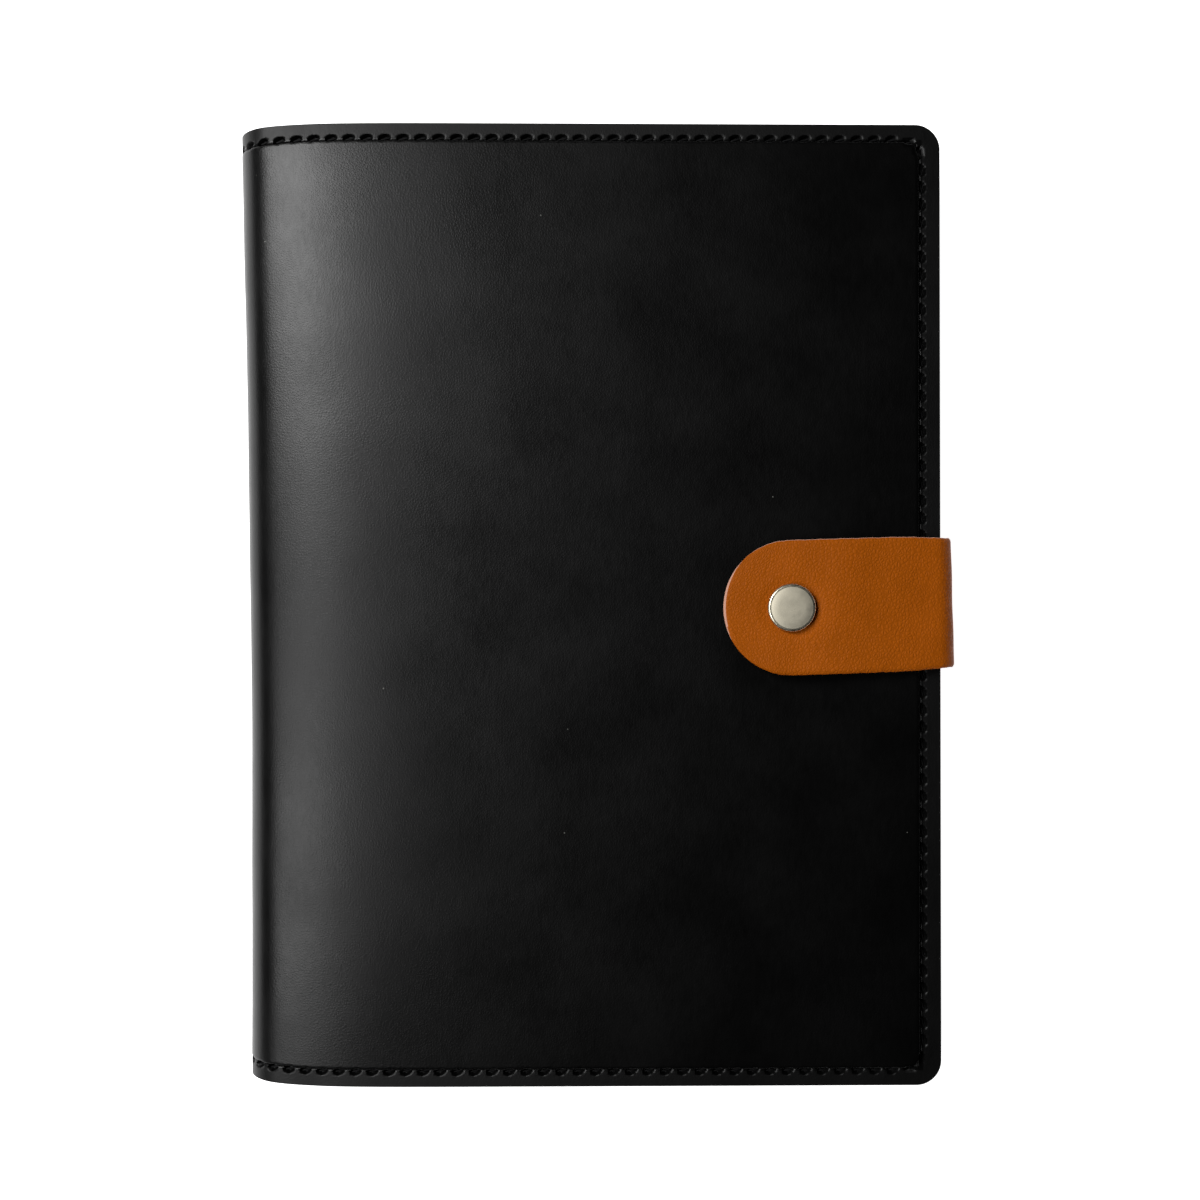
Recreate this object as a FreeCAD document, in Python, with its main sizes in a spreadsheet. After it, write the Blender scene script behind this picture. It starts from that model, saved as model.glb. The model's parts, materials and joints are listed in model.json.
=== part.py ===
import FreeCAD, Part

import math
import os

import Sketcher
from FreeCAD import Placement, Rotation, Vector

# A leather notebook cover with a snap strap, closed and lying on its back.
# X runs from the spine to the fore edge, Y from tail to head, Z up through the thickness.
# The origin is the middle of the back face. All sizes are in millimetres.
#
# The front and the back are the same panel, mirrored about the middle of the thickness.
# Each panel is drawn in the frame of the spine's round roll: its origin is the roll's centre line,
# and "level" is the height above that line, towards the outside of the cover.

SIZES = (
    ("CoverHeight", 220, "head to tail"),
    ("RollRadius", 9.6, "outside radius of the rounded spine, and level of the sewn margin"),
    ("PanelWidth", 151.4, "from the roll's centre line to the fore edge"),
    ("CornerRound", 5.7, "radius of the fore-edge corners"),
    ("LeatherThick", 1.6, "outer leather"),
    ("PadThick", 1.4, "padding, which lifts the panel above its sewn margin"),
    ("LiningThick", 0.5, "lining"),
    ("RampStart", 2, "where the padding starts, skived to nothing, beside the roll"),
    ("RampEnd", 17.4, "where the padding reaches its full thickness"),
    ("MarginEnd", 4.6, "sewn margin at head and tail"),
    ("MarginSide", 5, "sewn margin at the fore edge"),
    ("PanelBevel", 1.1, "softened edge of the raised panel"),
    ("PocketThick", 1, "leather of the sleeve pockets"),
    ("PocketWidth", 70, "sleeve pocket, from the fore edge inwards"),
    ("PocketLevel", 4.3, "inner face of the sleeve pockets"),
    ("RimEnd", 4, "sewn rim of the pocket at head and tail"),
    ("RimSide", 4.5, "sewn rim of the pocket at the fore edge"),
    ("BoardThick", 1.8, "notebook board"),
    ("BoardHeight", 211, "notebook board, head to tail"),
    ("BoardWidth", 141, "notebook board"),
    ("BoardStart", 3.9, "from the roll's centre line to the board's spine edge"),
    ("BoardRound", 6, "corner radius of boards, endpapers and pages"),
    ("EndpaperInset", 3, "endpaper short of the board's fore edge"),
    ("PaperThick", 0.2, "endpaper pasted to a board"),
    ("LayerGap", 0.1, "looseness between layers that only lie on each other"),
    ("PageHeight", 207, "pages, head to tail"),
    ("PageWidth", 146, "pages, spine to fore edge"),
    ("PageSpine", 4.1, "from the roll's centre line out to the spine of the page block"),
    ("SpineStripThick", 1.1, "spine strip of the notebook's case"),
    ("SeamEnd", 3, "stitch line from the head or tail edge"),
    ("SeamSide", 3.5, "stitch line from the fore edge"),
    ("StitchPitch", 4, "from one stitch to the next"),
    ("StitchLength", 3, "thread showing in one stitch"),
    ("ThreadThick", 0.8, "thread"),
    ("ThreadProud", 0.3, "thread above the leather"),
    ("StitchSlant", 14, "turn of each stitch from the seam, degrees"),
    ("StrapWidth", 30.5, "strap"),
    ("StrapThick", 2.2, "strap"),
    ("StrapSkew", 1.8, "turn of the strap from square, degrees"),
    ("AnchorThick", 1.4, "strap where it is skived and sewn to the back"),
    ("AnchorLength", 34, "sewn stretch of the strap"),
    ("RecessClear", 0.15, "play round the strap's sewn end, which is let into the back"),
    ("PressedBorder", 1.6, "pressed leather round that recess"),
    ("SnapInset", 34.8, "snap's centre to the fore edge"),
    ("SnapOffset", -0.6, "snap's centre from mid height"),
    ("EdgeClear", 0.5, "from the fore edge to the centres of the strap's folds"),
    ("FoldInner", 0.8, "inside radius of the strap's folds"),
    ("TailSlope", 7, "rise of the strap from its upper fold to the snap, degrees"),
    ("TailFlat", 13, "level stretch of strap on the fold side of the snap"),
    ("TailHeight", 25.4, "underside of the strap at the snap, above the back face"),
    ("CapRadius", 5.35, "snap cap"),
    ("CapHeight", 1.6, "snap cap above the strap"),
    ("CapRound", 0.6, "rounded rim of the cap"),
    ("CapPostRadius", 1.5, "post of the cap"),
    ("CapPostRoll", 0.8, "how far the end of that post is rolled out"),
    ("HoleClear", 0.05, "play round a post in its hole"),
    ("SocketRadius", 4.8, "snap socket"),
    ("SocketHeight", 2.8, "snap socket"),
    ("SocketBore", 2.05, "bore that takes the stud"),
    ("StudRadius", 1.8, "head of the stud"),
    ("StudFlange", 4, "flange of the stud on the leather"),
    ("StudHeight", 2.3, "stud above the leather"),
    ("PostRadius", 0.9, "post that holds the stud"),
    ("PostFlange", 3.8, "flange of that post, under the leather"),
    ("WireRadius", 0.3, "spring wire in the socket"),
    ("WireLength", 4.4, "spring wire in the socket"),
)

doc = FreeCAD.newDocument("NotebookCover")
sheet = doc.addObject("Spreadsheet::Sheet", "Sizes")
for row, (alias, value, meaning) in enumerate(SIZES, start=1):
    sheet.set(f"A{row}", alias)
    sheet.set(f"B{row}", str(value))
    sheet.set(f"C{row}", meaning)
    sheet.setAlias(f"B{row}", alias)
doc.recompute()

parts = []


def size(alias):
    """The number in one cell of the sheet."""
    return float(getattr(sheet, alias))


def bind(obj, **expressions):
    """Tie properties to expressions in the sheet's names; __ stands for a dot."""
    for name, expression in expressions.items():
        obj.setExpression(name.replace("__", "."), expression)
    return obj


def finished(obj, label):
    """Give a sub-part its own name and list it for export."""
    obj.Label = label
    parts.append(obj)
    return obj


# ---------------------------------------------------------------- frames

ROLL_X = "(Sizes.RollRadius - Sizes.PanelWidth) / 2"
ROLL_Z = "Sizes.RollRadius + Sizes.PadThick"
SNAP_X = "(Sizes.RollRadius + Sizes.PanelWidth) / 2 - Sizes.SnapInset"
INNER = "Sizes.RollRadius - Sizes.LeatherThick"
LINED = "Sizes.RollRadius - Sizes.LeatherThick - Sizes.LiningThick"
BOARD_TOP = LINED + " - Sizes.LayerGap"
FACE = "2 * (Sizes.RollRadius + Sizes.PadThick)"
CAVITY_TOP = "Sizes.RollRadius + Sizes.PadThick - Sizes.LeatherThick"
FOLD_X = "Sizes.SnapInset + Sizes.EdgeClear"
FOLD_OUTER = "Sizes.FoldInner + Sizes.StrapThick"
TAIL_RUN = f"({FOLD_X} + Sizes.FoldInner * sin(Sizes.TailSlope) - Sizes.TailFlat)"
TOP_FOLD = f"(Sizes.TailHeight - {TAIL_RUN} * tan(Sizes.TailSlope) - Sizes.FoldInner * cos(Sizes.TailSlope))"

TINY = 1e-6
OVERSHOOT = "5"    # how far a cutting shape runs past what it cuts

FLIPPED = Rotation(Vector(1, 0, 0), 180)
SKEWED = Rotation(Vector(0, 0, 1), size("StrapSkew"))
ALONG_Y = Rotation(Vector(1, 0, 0), 90)


def on_panel(obj, side):
    """Put a piece drawn in the roll's frame on the front, or turn it over for the back."""
    if side == "back":
        obj.Placement = Placement(Vector(), FLIPPED)
    return bind(obj, Placement__Base__x=ROLL_X, Placement__Base__z=ROLL_Z)


def on_strap(obj, height="0"):
    """Put a piece drawn in the strap's frame, with its origin at the snap's centre, in place."""
    obj.Placement = Placement(Vector(), SKEWED)
    return bind(obj, Placement__Base__x=SNAP_X, Placement__Base__y="Sizes.SnapOffset",
                Placement__Base__z=height)


# ---------------------------------------------------------------- building blocks

def box(name, length, width, height, start, level):
    """A block centred on Y: start is its low X, level its low Z."""
    obj = doc.addObject("Part::Box", name)
    return bind(obj, Length=length, Width=width, Height=height, Placement__Base__x=start,
                Placement__Base__y=f"-({width}) / 2", Placement__Base__z=level)


def disc(name, radius, height, level, start="0"):
    """An upright cylinder: level is its low end, start its place along X."""
    obj = doc.addObject("Part::Cylinder", name)
    return bind(obj, Radius=radius, Height=height, Placement__Base__x=start,
                Placement__Base__z=level)


def combined(kind, name, first, *others):
    """Fuse shapes, or cut the others away from the first."""
    if kind == "fuse":
        obj = doc.addObject("Part::MultiFuse", name)
        obj.Shapes = [first, *others]
        obj.Refine = True
        return obj
    for number, other in enumerate(others, start=1):
        obj = doc.addObject("Part::Cut", f"{name}_{number}")
        obj.Base = first
        obj.Tool = other
        first = obj
    return first


def bend(name, outer, thick, width, start_angle, sweep, centre_x="0", centre_z="0"):
    """Sheet bent round an axis along Y; angles run from +X towards +Z."""
    pieces = []
    for ending, radius in (("outer", outer), ("inner", f"{outer} - ({thick})")):
        obj = doc.addObject("Part::Cylinder", f"{name}_{ending}")
        obj.Placement = Placement(Vector(), ALONG_Y * Rotation(Vector(0, 0, 1), start_angle))
        obj.Angle = sweep
        bind(obj, Radius=radius, Height=width, Placement__Base__x=centre_x,
             Placement__Base__y=f"({width}) / 2", Placement__Base__z=centre_z)
        pieces.append(obj)
    return combined("cut", name, *pieces)


def origin_plane(body, role):
    """One of a body's own origin planes."""
    return next(plane for plane in body.Origin.OriginFeatures if plane.Role == role)


def new_sketch(body, name, role):
    """An empty sketch on one of the body's origin planes."""
    sketch = body.newObject("Sketcher::SketchObject", name)
    sketch.AttachmentSupport = (origin_plane(body, role), [""])
    sketch.MapMode = "FlatFace"
    return sketch


def rectangle(body, name, length, width, start, level):
    """A rectangle flat on XY, centred on Y, from start along +X at the given level."""
    sketch = new_sketch(body, name, "XY_Plane")
    corners = [Vector(0, -1, 0), Vector(3, -1, 0), Vector(3, 1, 0), Vector(0, 1, 0)]
    for index, corner in enumerate(corners):
        sketch.addGeometry(Part.LineSegment(corner, corners[(index + 1) % 4]))
    for index in range(4):
        sketch.addConstraint(Sketcher.Constraint("Coincident", index, 2, (index + 1) % 4, 1))
        direction = "Horizontal" if index % 2 == 0 else "Vertical"
        sketch.addConstraint(Sketcher.Constraint(direction, index))
    sketch.addConstraint(Sketcher.Constraint("Symmetric", 0, 1, 3, 1, -1, 1))
    across = sketch.addConstraint(Sketcher.Constraint("DistanceX", 0, 1, 0, 2, 3))
    along = sketch.addConstraint(Sketcher.Constraint("DistanceY", 1, 1, 1, 2, 2))
    sketch.setExpression(f"Constraints[{across}]", length)
    sketch.setExpression(f"Constraints[{along}]", width)
    return bind(sketch, AttachmentOffset__Base__x=start, AttachmentOffset__Base__z=level)


def polygon(body, name, vertices):
    """A closed outline on XZ; each vertex is a pair of expressions, "0" for one on an axis.
    It is drawn as a round polygon well off the axes, which the constraints pull into shape."""
    sketch = new_sketch(body, name, "XZ_Plane")
    count = len(vertices)
    middle, radius = 20, 9
    turns = [2 * math.pi * index / count for index in range(count)]
    rough = [Vector(middle + radius * math.cos(turn), middle + radius * math.sin(turn), 0) for turn in turns]
    for index in range(count):
        sketch.addGeometry(Part.LineSegment(rough[index], rough[(index + 1) % count]))
    for index in range(count):
        sketch.addConstraint(Sketcher.Constraint("Coincident", index, 2, (index + 1) % count, 1))
    for index, (x_value, z_value) in enumerate(vertices):
        for kind, axis, expression in (("DistanceX", -2, x_value), ("DistanceY", -1, z_value)):
            if expression == "0":
                sketch.addConstraint(Sketcher.Constraint("PointOnObject", index, 1, axis))
                continue
            number = sketch.addConstraint(Sketcher.Constraint(kind, -1, 1, index, 1, 20))
            sketch.setExpression(f"Constraints[{number}]", expression)
    return sketch


def padded_out(body, name, sketch, length, symmetric=False):
    """A sketch given its thickness, upwards or to both sides."""
    pad = body.newObject("PartDesign::Pad", name)
    pad.Profile = sketch
    pad.SideType = "Symmetric" if symmetric else "One side"
    bind(pad, Length=length)
    body.Tip = pad
    return pad


def edges_where(shape, test):
    """Names of the edges whose box passes a test."""
    return [f"Edge{number}" for number, edge in enumerate(shape.Edges, start=1) if test(edge.BoundBox)]


def dressed(body, kind, name, base, edges, amount):
    """A fillet or chamfer on named edges of a feature."""
    if not edges:
        raise RuntimeError(f"{name}: no edges to dress")
    feature = body.newObject(f"PartDesign::{kind}", name)
    feature.Base = (base, edges)
    bind(feature, **{"Radius" if kind == "Fillet" else "Size": amount})
    body.Tip = feature
    return feature


def rounded_plate(name, length, width, thick, start, level, corner):
    """A flat sheet whose two corners at the fore edge are rounded."""
    body = doc.addObject("PartDesign::Body", name)
    sketch = rectangle(body, f"{name}_outline", length, width, start, level)
    pad = padded_out(body, f"{name}_pad", sketch, thick)
    doc.recompute()
    far = pad.Shape.BoundBox.XMax
    corners = edges_where(pad.Shape, lambda b: max(b.XLength, b.YLength, abs(b.XMax - far)) < TINY)
    dressed(body, "Fillet", f"{name}_corners", pad, corners, corner)
    return body


def turned(name, vertices):
    """A body of revolution about Z; each vertex is (radius, height)."""
    body = doc.addObject("PartDesign::Body", name)
    sketch = polygon(body, f"{name}_profile", vertices)
    revolution = body.newObject("PartDesign::Revolution", f"{name}_turned")
    revolution.Profile = sketch
    revolution.ReferenceAxis = (sketch, ["V_Axis"])
    revolution.Angle = 360
    body.Tip = revolution
    return body


# ---------------------------------------------------------------- cover panels

RAISED_LENGTH = "Sizes.PanelWidth - Sizes.MarginSide"
RAISED_WIDTH = "Sizes.CoverHeight - 2 * Sizes.MarginEnd"
PAD_WIDTH = f"{RAISED_WIDTH} - 2 * Sizes.LeatherThick"
COS_SKEW = "cos(Sizes.StrapSkew)"
SIN_SKEW = "sin(Sizes.StrapSkew)"


def wedge(body, name, low, high, far):
    """Section of the padding: skived to nothing beside the roll, full thickness across the panel."""
    return polygon(body, name, [
        ("Sizes.RampStart", low),
        (far, low),
        (far, high),
        ("Sizes.RampEnd", high),
    ])


def cavity(name):
    """The space inside the raised panel, which the padding fills."""
    body = doc.addObject("PartDesign::Body", name)
    section = wedge(body, f"{name}_section", INNER, CAVITY_TOP, f"{RAISED_LENGTH} - Sizes.LeatherThick")
    padded_out(body, f"{name}_pad", section, PAD_WIDTH, symmetric=True)
    return body


def skewed_block(name, margin, low, high):
    """The sewn stretch of the strap as a block from low to high, with a margin all round it."""
    obj = doc.addObject("Part::Box", name)
    obj.Placement = Placement(Vector(), SKEWED)
    reach = f"(Sizes.AnchorLength + {margin} - Sizes.SnapInset)"
    half = f"(Sizes.StrapWidth / 2 + {margin})"
    return bind(
        obj,
        Length=f"Sizes.AnchorLength + {margin} + {OVERSHOOT}",
        Width=f"2 * {half}",
        Height=f"{high} - ({low})",
        Placement__Base__x=f"{SNAP_X} - {reach} * {COS_SKEW} + {half} * {SIN_SKEW}",
        Placement__Base__y=f"Sizes.SnapOffset - {reach} * {SIN_SKEW} - {half} * {COS_SKEW}",
        Placement__Base__z=low,
    )


def leather(side):
    """Outer leather: sewn margin, raised panel, the padding's space, and an eighth of the roll."""
    name = f"{side}_sheet"
    margin = rounded_plate(f"{name}_margin", "Sizes.PanelWidth", "Sizes.CoverHeight", "Sizes.LeatherThick",
                           "0", INNER, "Sizes.CornerRound")
    raised = doc.addObject("PartDesign::Body", f"{name}_raised")
    section = wedge(raised, f"{name}_raised_section", "Sizes.RollRadius - Sizes.LeatherThick / 2",
                    "Sizes.RollRadius + Sizes.PadThick", RAISED_LENGTH)
    pad = padded_out(raised, f"{name}_raised_pad", section, RAISED_WIDTH, symmetric=True)
    doc.recompute()
    box_all = pad.Shape.BoundBox
    rim = edges_where(pad.Shape, lambda b: b.ZMin > box_all.ZMax - TINY
                      and (b.YLength < TINY or b.XMin > box_all.XMax - TINY))
    dressed(raised, "Chamfer", f"{name}_raised_bevel", pad, rim, "Sizes.PanelBevel")
    roll = bend(f"{name}_roll", "Sizes.RollRadius", "Sizes.LeatherThick", "Sizes.CoverHeight", 90, 45)
    solid = combined("fuse", f"{name}_solid", margin, raised, roll)
    return on_panel(combined("cut", f"{name}_hollow", solid, cavity(f"{name}_cavity")), side)


front_sheet = leather("front")
post_hole = disc("front_post_hole", "Sizes.PostRadius + Sizes.HoleClear", f"2 * {OVERSHOOT}",
                 f"{FACE} - {OVERSHOOT}", SNAP_X)
bind(post_hole, Placement__Base__y="Sizes.SnapOffset")
finished(combined("cut", "front_leather", front_sheet, post_hole), "front_leather")

BACK_PLANE = "Sizes.PadThick"
pressed = skewed_block("back_pressed", "Sizes.PressedBorder", BACK_PLANE,
                       "Sizes.PadThick + Sizes.LeatherThick")
back_limit = box("back_pressed_limit", f"{RAISED_LENGTH} - Sizes.RampEnd", RAISED_WIDTH, OVERSHOOT,
                 f"{ROLL_X} + Sizes.RampEnd", "0")
pressed_in = doc.addObject("Part::Common", "back_pressed_in")
pressed_in.Base = pressed
pressed_in.Tool = back_limit
recess = skewed_block("back_recess", "Sizes.RecessClear", f"-{OVERSHOOT}", BACK_PLANE)
back_solid = combined("fuse", "back_leather_solid", leather("back"), pressed_in)
finished(combined("cut", "back_leather", back_solid, recess), "back_leather")

finished(bend("spine_leather", "Sizes.RollRadius", "Sizes.LeatherThick", "Sizes.CoverHeight", 135, 90,
              ROLL_X, ROLL_Z), "spine_leather")

front_pad = on_panel(cavity("front_padding_body"), "front")
flange_hole = disc("front_flange_hole", "Sizes.PostFlange + 2 * Sizes.HoleClear", f"2 * {OVERSHOOT}",
                   f"{FACE} - {OVERSHOOT}", SNAP_X)
bind(flange_hole, Placement__Base__y="Sizes.SnapOffset")
finished(combined("cut", "front_padding", front_pad, flange_hole), "front_padding")
back_pad = on_panel(cavity("back_padding_body"), "back")
pad_notch = skewed_block("back_padding_notch", "Sizes.PressedBorder", "0",
                         "Sizes.PadThick + 2 * Sizes.LeatherThick")
finished(combined("cut", "back_padding", back_pad, pad_notch), "back_padding")

for panel_side in ("front", "back"):
    flat = rounded_plate(f"{panel_side}_lining_flat", "Sizes.PanelWidth", "Sizes.CoverHeight",
                         "Sizes.LiningThick", "0", LINED, "Sizes.CornerRound")
    curl = bend(f"{panel_side}_lining_curl", INNER, "Sizes.LiningThick", "Sizes.CoverHeight", 90, 45)
    lining = combined("fuse", f"{panel_side}_lining", flat, curl)
    finished(on_panel(lining, panel_side), f"{panel_side}_lining")
finished(bend("spine_lining", INNER, "Sizes.LiningThick", "Sizes.CoverHeight", 135, 90, ROLL_X, ROLL_Z),
         "spine_lining")

for panel_side in ("front", "back"):
    sleeve = rounded_plate(f"{panel_side}_sleeve", "Sizes.PocketWidth", "Sizes.CoverHeight",
                           f"{LINED} - Sizes.PocketLevel", "Sizes.PanelWidth - Sizes.PocketWidth",
                           "Sizes.PocketLevel", "Sizes.CornerRound")
    room = box(f"{panel_side}_sleeve_room", f"Sizes.PocketWidth + {OVERSHOOT} - Sizes.RimSide",
               "Sizes.CoverHeight - 2 * Sizes.RimEnd", OVERSHOOT,
               f"Sizes.PanelWidth - Sizes.PocketWidth - {OVERSHOOT}", "Sizes.PocketLevel + Sizes.PocketThick")
    pocket = combined("cut", f"{panel_side}_pocket", sleeve, room)
    finished(on_panel(pocket, panel_side), f"{panel_side}_pocket")

# ---------------------------------------------------------------- the notebook

PAPER_LEVEL = f"{BOARD_TOP} - Sizes.BoardThick - Sizes.PaperThick"
for panel_side in ("front", "back"):
    board = rounded_plate(f"notebook_{panel_side}_board", "Sizes.BoardWidth", "Sizes.BoardHeight",
                          "Sizes.BoardThick", "Sizes.BoardStart", f"{BOARD_TOP} - Sizes.BoardThick",
                          "Sizes.BoardRound")
    finished(on_panel(board, panel_side), f"notebook_{panel_side}_board")
    paper = rounded_plate(f"{panel_side}_endpaper", "Sizes.BoardWidth - Sizes.EndpaperInset",
                          "Sizes.PageHeight", "Sizes.PaperThick", "Sizes.BoardStart", PAPER_LEVEL,
                          "Sizes.BoardRound")
    finished(on_panel(paper, panel_side), f"{panel_side}_endpaper")
    pages = rounded_plate(f"{panel_side}_pages", "Sizes.PageWidth", "Sizes.PageHeight",
                          "Sizes.PocketLevel - 1.5 * Sizes.LayerGap", "-Sizes.PageSpine",
                          "Sizes.LayerGap / 2", "Sizes.BoardRound")
    finished(on_panel(pages, panel_side), f"{panel_side}_pages")

STRIP_HALF = "(Sizes.PocketLevel - 3 * Sizes.LayerGap)"
finished(box("notebook_spine_strip", "Sizes.SpineStripThick", "Sizes.BoardHeight", f"2 * {STRIP_HALF}",
             f"{ROLL_X} - Sizes.PageSpine - Sizes.SpineStripThick - 2 * Sizes.LayerGap",
             f"{ROLL_Z} - {STRIP_HALF}"), "notebook_spine_strip")

# ---------------------------------------------------------------- the strap

width = "Sizes.StrapWidth"
sheet_of_strap = ("Sizes.StrapThick", width)

anchor_flat = box("anchor_flat", "Sizes.AnchorLength + Sizes.EdgeClear", width, "Sizes.AnchorThick",
                  "Sizes.SnapInset - Sizes.AnchorLength", "0")
anchor_bend = bend("anchor_bend", FOLD_OUTER, *sheet_of_strap, 270, 45, FOLD_X, FOLD_OUTER)
finished(on_strap(combined("fuse", "strap_anchor", anchor_flat, anchor_bend)), "strap_anchor")

half_fold = (90 - size("TailSlope")) / 2
rise_low = bend("rise_low", FOLD_OUTER, *sheet_of_strap, 315, 45, FOLD_X, FOLD_OUTER)
rise_high = bend("rise_high", FOLD_OUTER, *sheet_of_strap, 0, half_fold, FOLD_X, TOP_FOLD)
rise_wall = box("rise_wall", "Sizes.StrapThick", width, f"{TOP_FOLD} - ({FOLD_OUTER})",
                f"{FOLD_X} + Sizes.FoldInner", FOLD_OUTER)
finished(on_strap(combined("fuse", "strap_rise", rise_wall, rise_low, rise_high)), "strap_rise")

tail_bend = bend("tail_bend", FOLD_OUTER, *sheet_of_strap, half_fold, half_fold, FOLD_X, TOP_FOLD)
tail_tip = disc("tail_tip", f"{width} / 2", "Sizes.StrapThick", "Sizes.TailHeight")
tail_level = box("tail_level", "Sizes.TailFlat + Sizes.StrapThick * tan(Sizes.TailSlope / 2)", width,
                 "Sizes.StrapThick", "0", "Sizes.TailHeight")
tail_ramp = doc.addObject("Part::Box", "tail_ramp")
tail_ramp.Placement = Placement(Vector(), Rotation(Vector(0, 1, 0), size("TailSlope")))
bind(tail_ramp, Width=width, Height="Sizes.StrapThick",
     Length=f"{TAIL_RUN} / cos(Sizes.TailSlope)",
     Placement__Base__x="Sizes.TailFlat", Placement__Base__y=f"-{width} / 2",
     Placement__Base__z="Sizes.TailHeight")
tail_solid = combined("fuse", "tail_solid", tail_tip, tail_level, tail_ramp, tail_bend)
cap_hole = disc("tail_cap_hole", "Sizes.CapPostRadius + Sizes.HoleClear", f"2 * {OVERSHOOT}",
                f"Sizes.TailHeight - {OVERSHOOT}")
finished(on_strap(combined("cut", "strap_tail", tail_solid, cap_hole)), "strap_tail")

# ---------------------------------------------------------------- the snap

# Heights in the pressed parts, all from their own undersides unless they say otherwise.
PLATE = "0.6"           # top plate of the socket, over which the cap's post is rolled
ROLLED = "0.35"         # rolled end of the cap's post
FLANGE = "0.5"          # flange of the stud
POST_FLANGE = "0.4"     # flange of the post that holds the stud
SOCKET_BEVEL = "0.5"    # bevel round the socket's foot
GROOVE_LOW = "0.2"      # groove for the spring wires
GROOVE_HIGH = "0.9"
UNDER_CAP = f"Sizes.StrapThick + {PLATE} + {ROLLED}"

cap = turned("snap_cap", [
    ("0", "0"),
    ("Sizes.CapPostRadius + Sizes.CapPostRoll", "0"),
    ("Sizes.CapPostRadius + Sizes.CapPostRoll", ROLLED),
    ("Sizes.CapPostRadius", ROLLED),
    ("Sizes.CapPostRadius", UNDER_CAP),
    ("Sizes.CapRadius", UNDER_CAP),
    ("Sizes.CapRadius", f"{UNDER_CAP} + Sizes.CapHeight"),
    ("0", f"{UNDER_CAP} + Sizes.CapHeight"),
])
doc.recompute()
cap_top = cap.Shape.BoundBox.ZMax
cap_rim = edges_where(cap.Tip.Shape, lambda b: b.ZMin > cap_top - TINY and b.XLength > size("CapRadius"))
dressed(cap, "Fillet", "snap_cap_rim", cap.Tip, cap_rim, "Sizes.CapRound")
finished(on_strap(cap, f"Sizes.TailHeight - {PLATE} - {ROLLED}"), "snap_cap")

GROOVE_RADIUS = "Sizes.SocketBore + 1.1"
POST_HOLE = "Sizes.CapPostRadius + Sizes.HoleClear"
ROLL_ROOM = "Sizes.CapPostRadius + Sizes.CapPostRoll + 4 * Sizes.HoleClear"
UNDER_PLATE = f"Sizes.SocketHeight - {PLATE}"
UNDER_ROLL = f"{UNDER_PLATE} - {ROLLED} - Sizes.HoleClear"
socket = turned("snap_socket", [
    ("Sizes.SocketBore", "0"),
    (f"Sizes.SocketRadius - {SOCKET_BEVEL}", "0"),
    ("Sizes.SocketRadius", SOCKET_BEVEL),
    ("Sizes.SocketRadius", "Sizes.SocketHeight"),
    (POST_HOLE, "Sizes.SocketHeight"),
    (POST_HOLE, UNDER_PLATE),
    (ROLL_ROOM, UNDER_PLATE),
    (ROLL_ROOM, UNDER_ROLL),
    ("Sizes.SocketBore", UNDER_ROLL),
    ("Sizes.SocketBore", GROOVE_HIGH),
    (GROOVE_RADIUS, GROOVE_HIGH),
    (GROOVE_RADIUS, GROOVE_LOW),
    ("Sizes.SocketBore", GROOVE_LOW),
])
finished(on_strap(socket, "Sizes.TailHeight - Sizes.SocketHeight"), "snap_socket")

wires = []
wire_level = f"Sizes.TailHeight - Sizes.SocketHeight + ({GROOVE_LOW} + {GROOVE_HIGH}) / 2"
for number, direction in enumerate(("", "-")):
    wire = doc.addObject("Part::Cylinder", f"spring_wire_{number}")
    wire.Placement = Placement(Vector(), Rotation(Vector(0, 1, 0), 90))
    bind(wire, Radius="Sizes.WireRadius", Height="Sizes.WireLength",
         Placement__Base__x="-Sizes.WireLength / 2",
         Placement__Base__y=f"{direction}(Sizes.StudRadius)", Placement__Base__z=wire_level)
    wires.append(wire)
spring = doc.addObject("Part::Compound", "socket_spring")
spring.Links = wires
finished(on_strap(spring), "socket_spring")

# The stud's neck, and the head that the wires close under.
NECK = "Sizes.StudRadius - 0.5"
NECK_TOP = "Sizes.StudHeight - 0.9"
HEAD_LOW = "Sizes.StudHeight - 0.7"
HEAD_BEVEL = "0.3"
stud = turned("snap_stud", [
    ("Sizes.PostRadius", "0"),
    ("Sizes.StudFlange", "0"),
    ("Sizes.StudFlange", FLANGE),
    (NECK, FLANGE),
    (NECK, NECK_TOP),
    ("Sizes.StudRadius", HEAD_LOW),
    ("Sizes.StudRadius", f"Sizes.StudHeight - {HEAD_BEVEL}"),
    (f"Sizes.StudRadius - {HEAD_BEVEL}", "Sizes.StudHeight"),
    ("0", "Sizes.StudHeight"),
    ("0", f"Sizes.StudHeight - {FLANGE}"),
    ("Sizes.PostRadius", f"Sizes.StudHeight - {FLANGE}"),
])
finished(on_strap(stud, FACE), "snap_stud")

POST_TOP = f"{POST_FLANGE} + Sizes.LeatherThick + Sizes.StudHeight - {FLANGE}"
post = turned("snap_post", [
    ("0", "0"),
    ("Sizes.PostFlange", "0"),
    ("Sizes.PostFlange", POST_FLANGE),
    ("Sizes.PostRadius", POST_FLANGE),
    ("Sizes.PostRadius", POST_TOP),
    ("0", POST_TOP),
])
finished(on_strap(post, f"{FACE} - Sizes.LeatherThick - {POST_FLANGE}"), "snap_post")

# ---------------------------------------------------------------- stitching

# Angles of the stitches round the roll, from +X towards +Z, a pitch apart.
PANEL_ROLL_ANGLES = (100, 123)
SPINE_ROLL_ANGLES = (146, 169, 191, 214)

pitch = size("StitchPitch")
thread = Part.makeBox(size("StitchLength"), size("ThreadThick"), size("ThreadThick"),
                      Vector(-size("StitchLength") / 2, -size("ThreadThick") / 2,
                             size("ThreadProud") - size("ThreadThick")))


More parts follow.
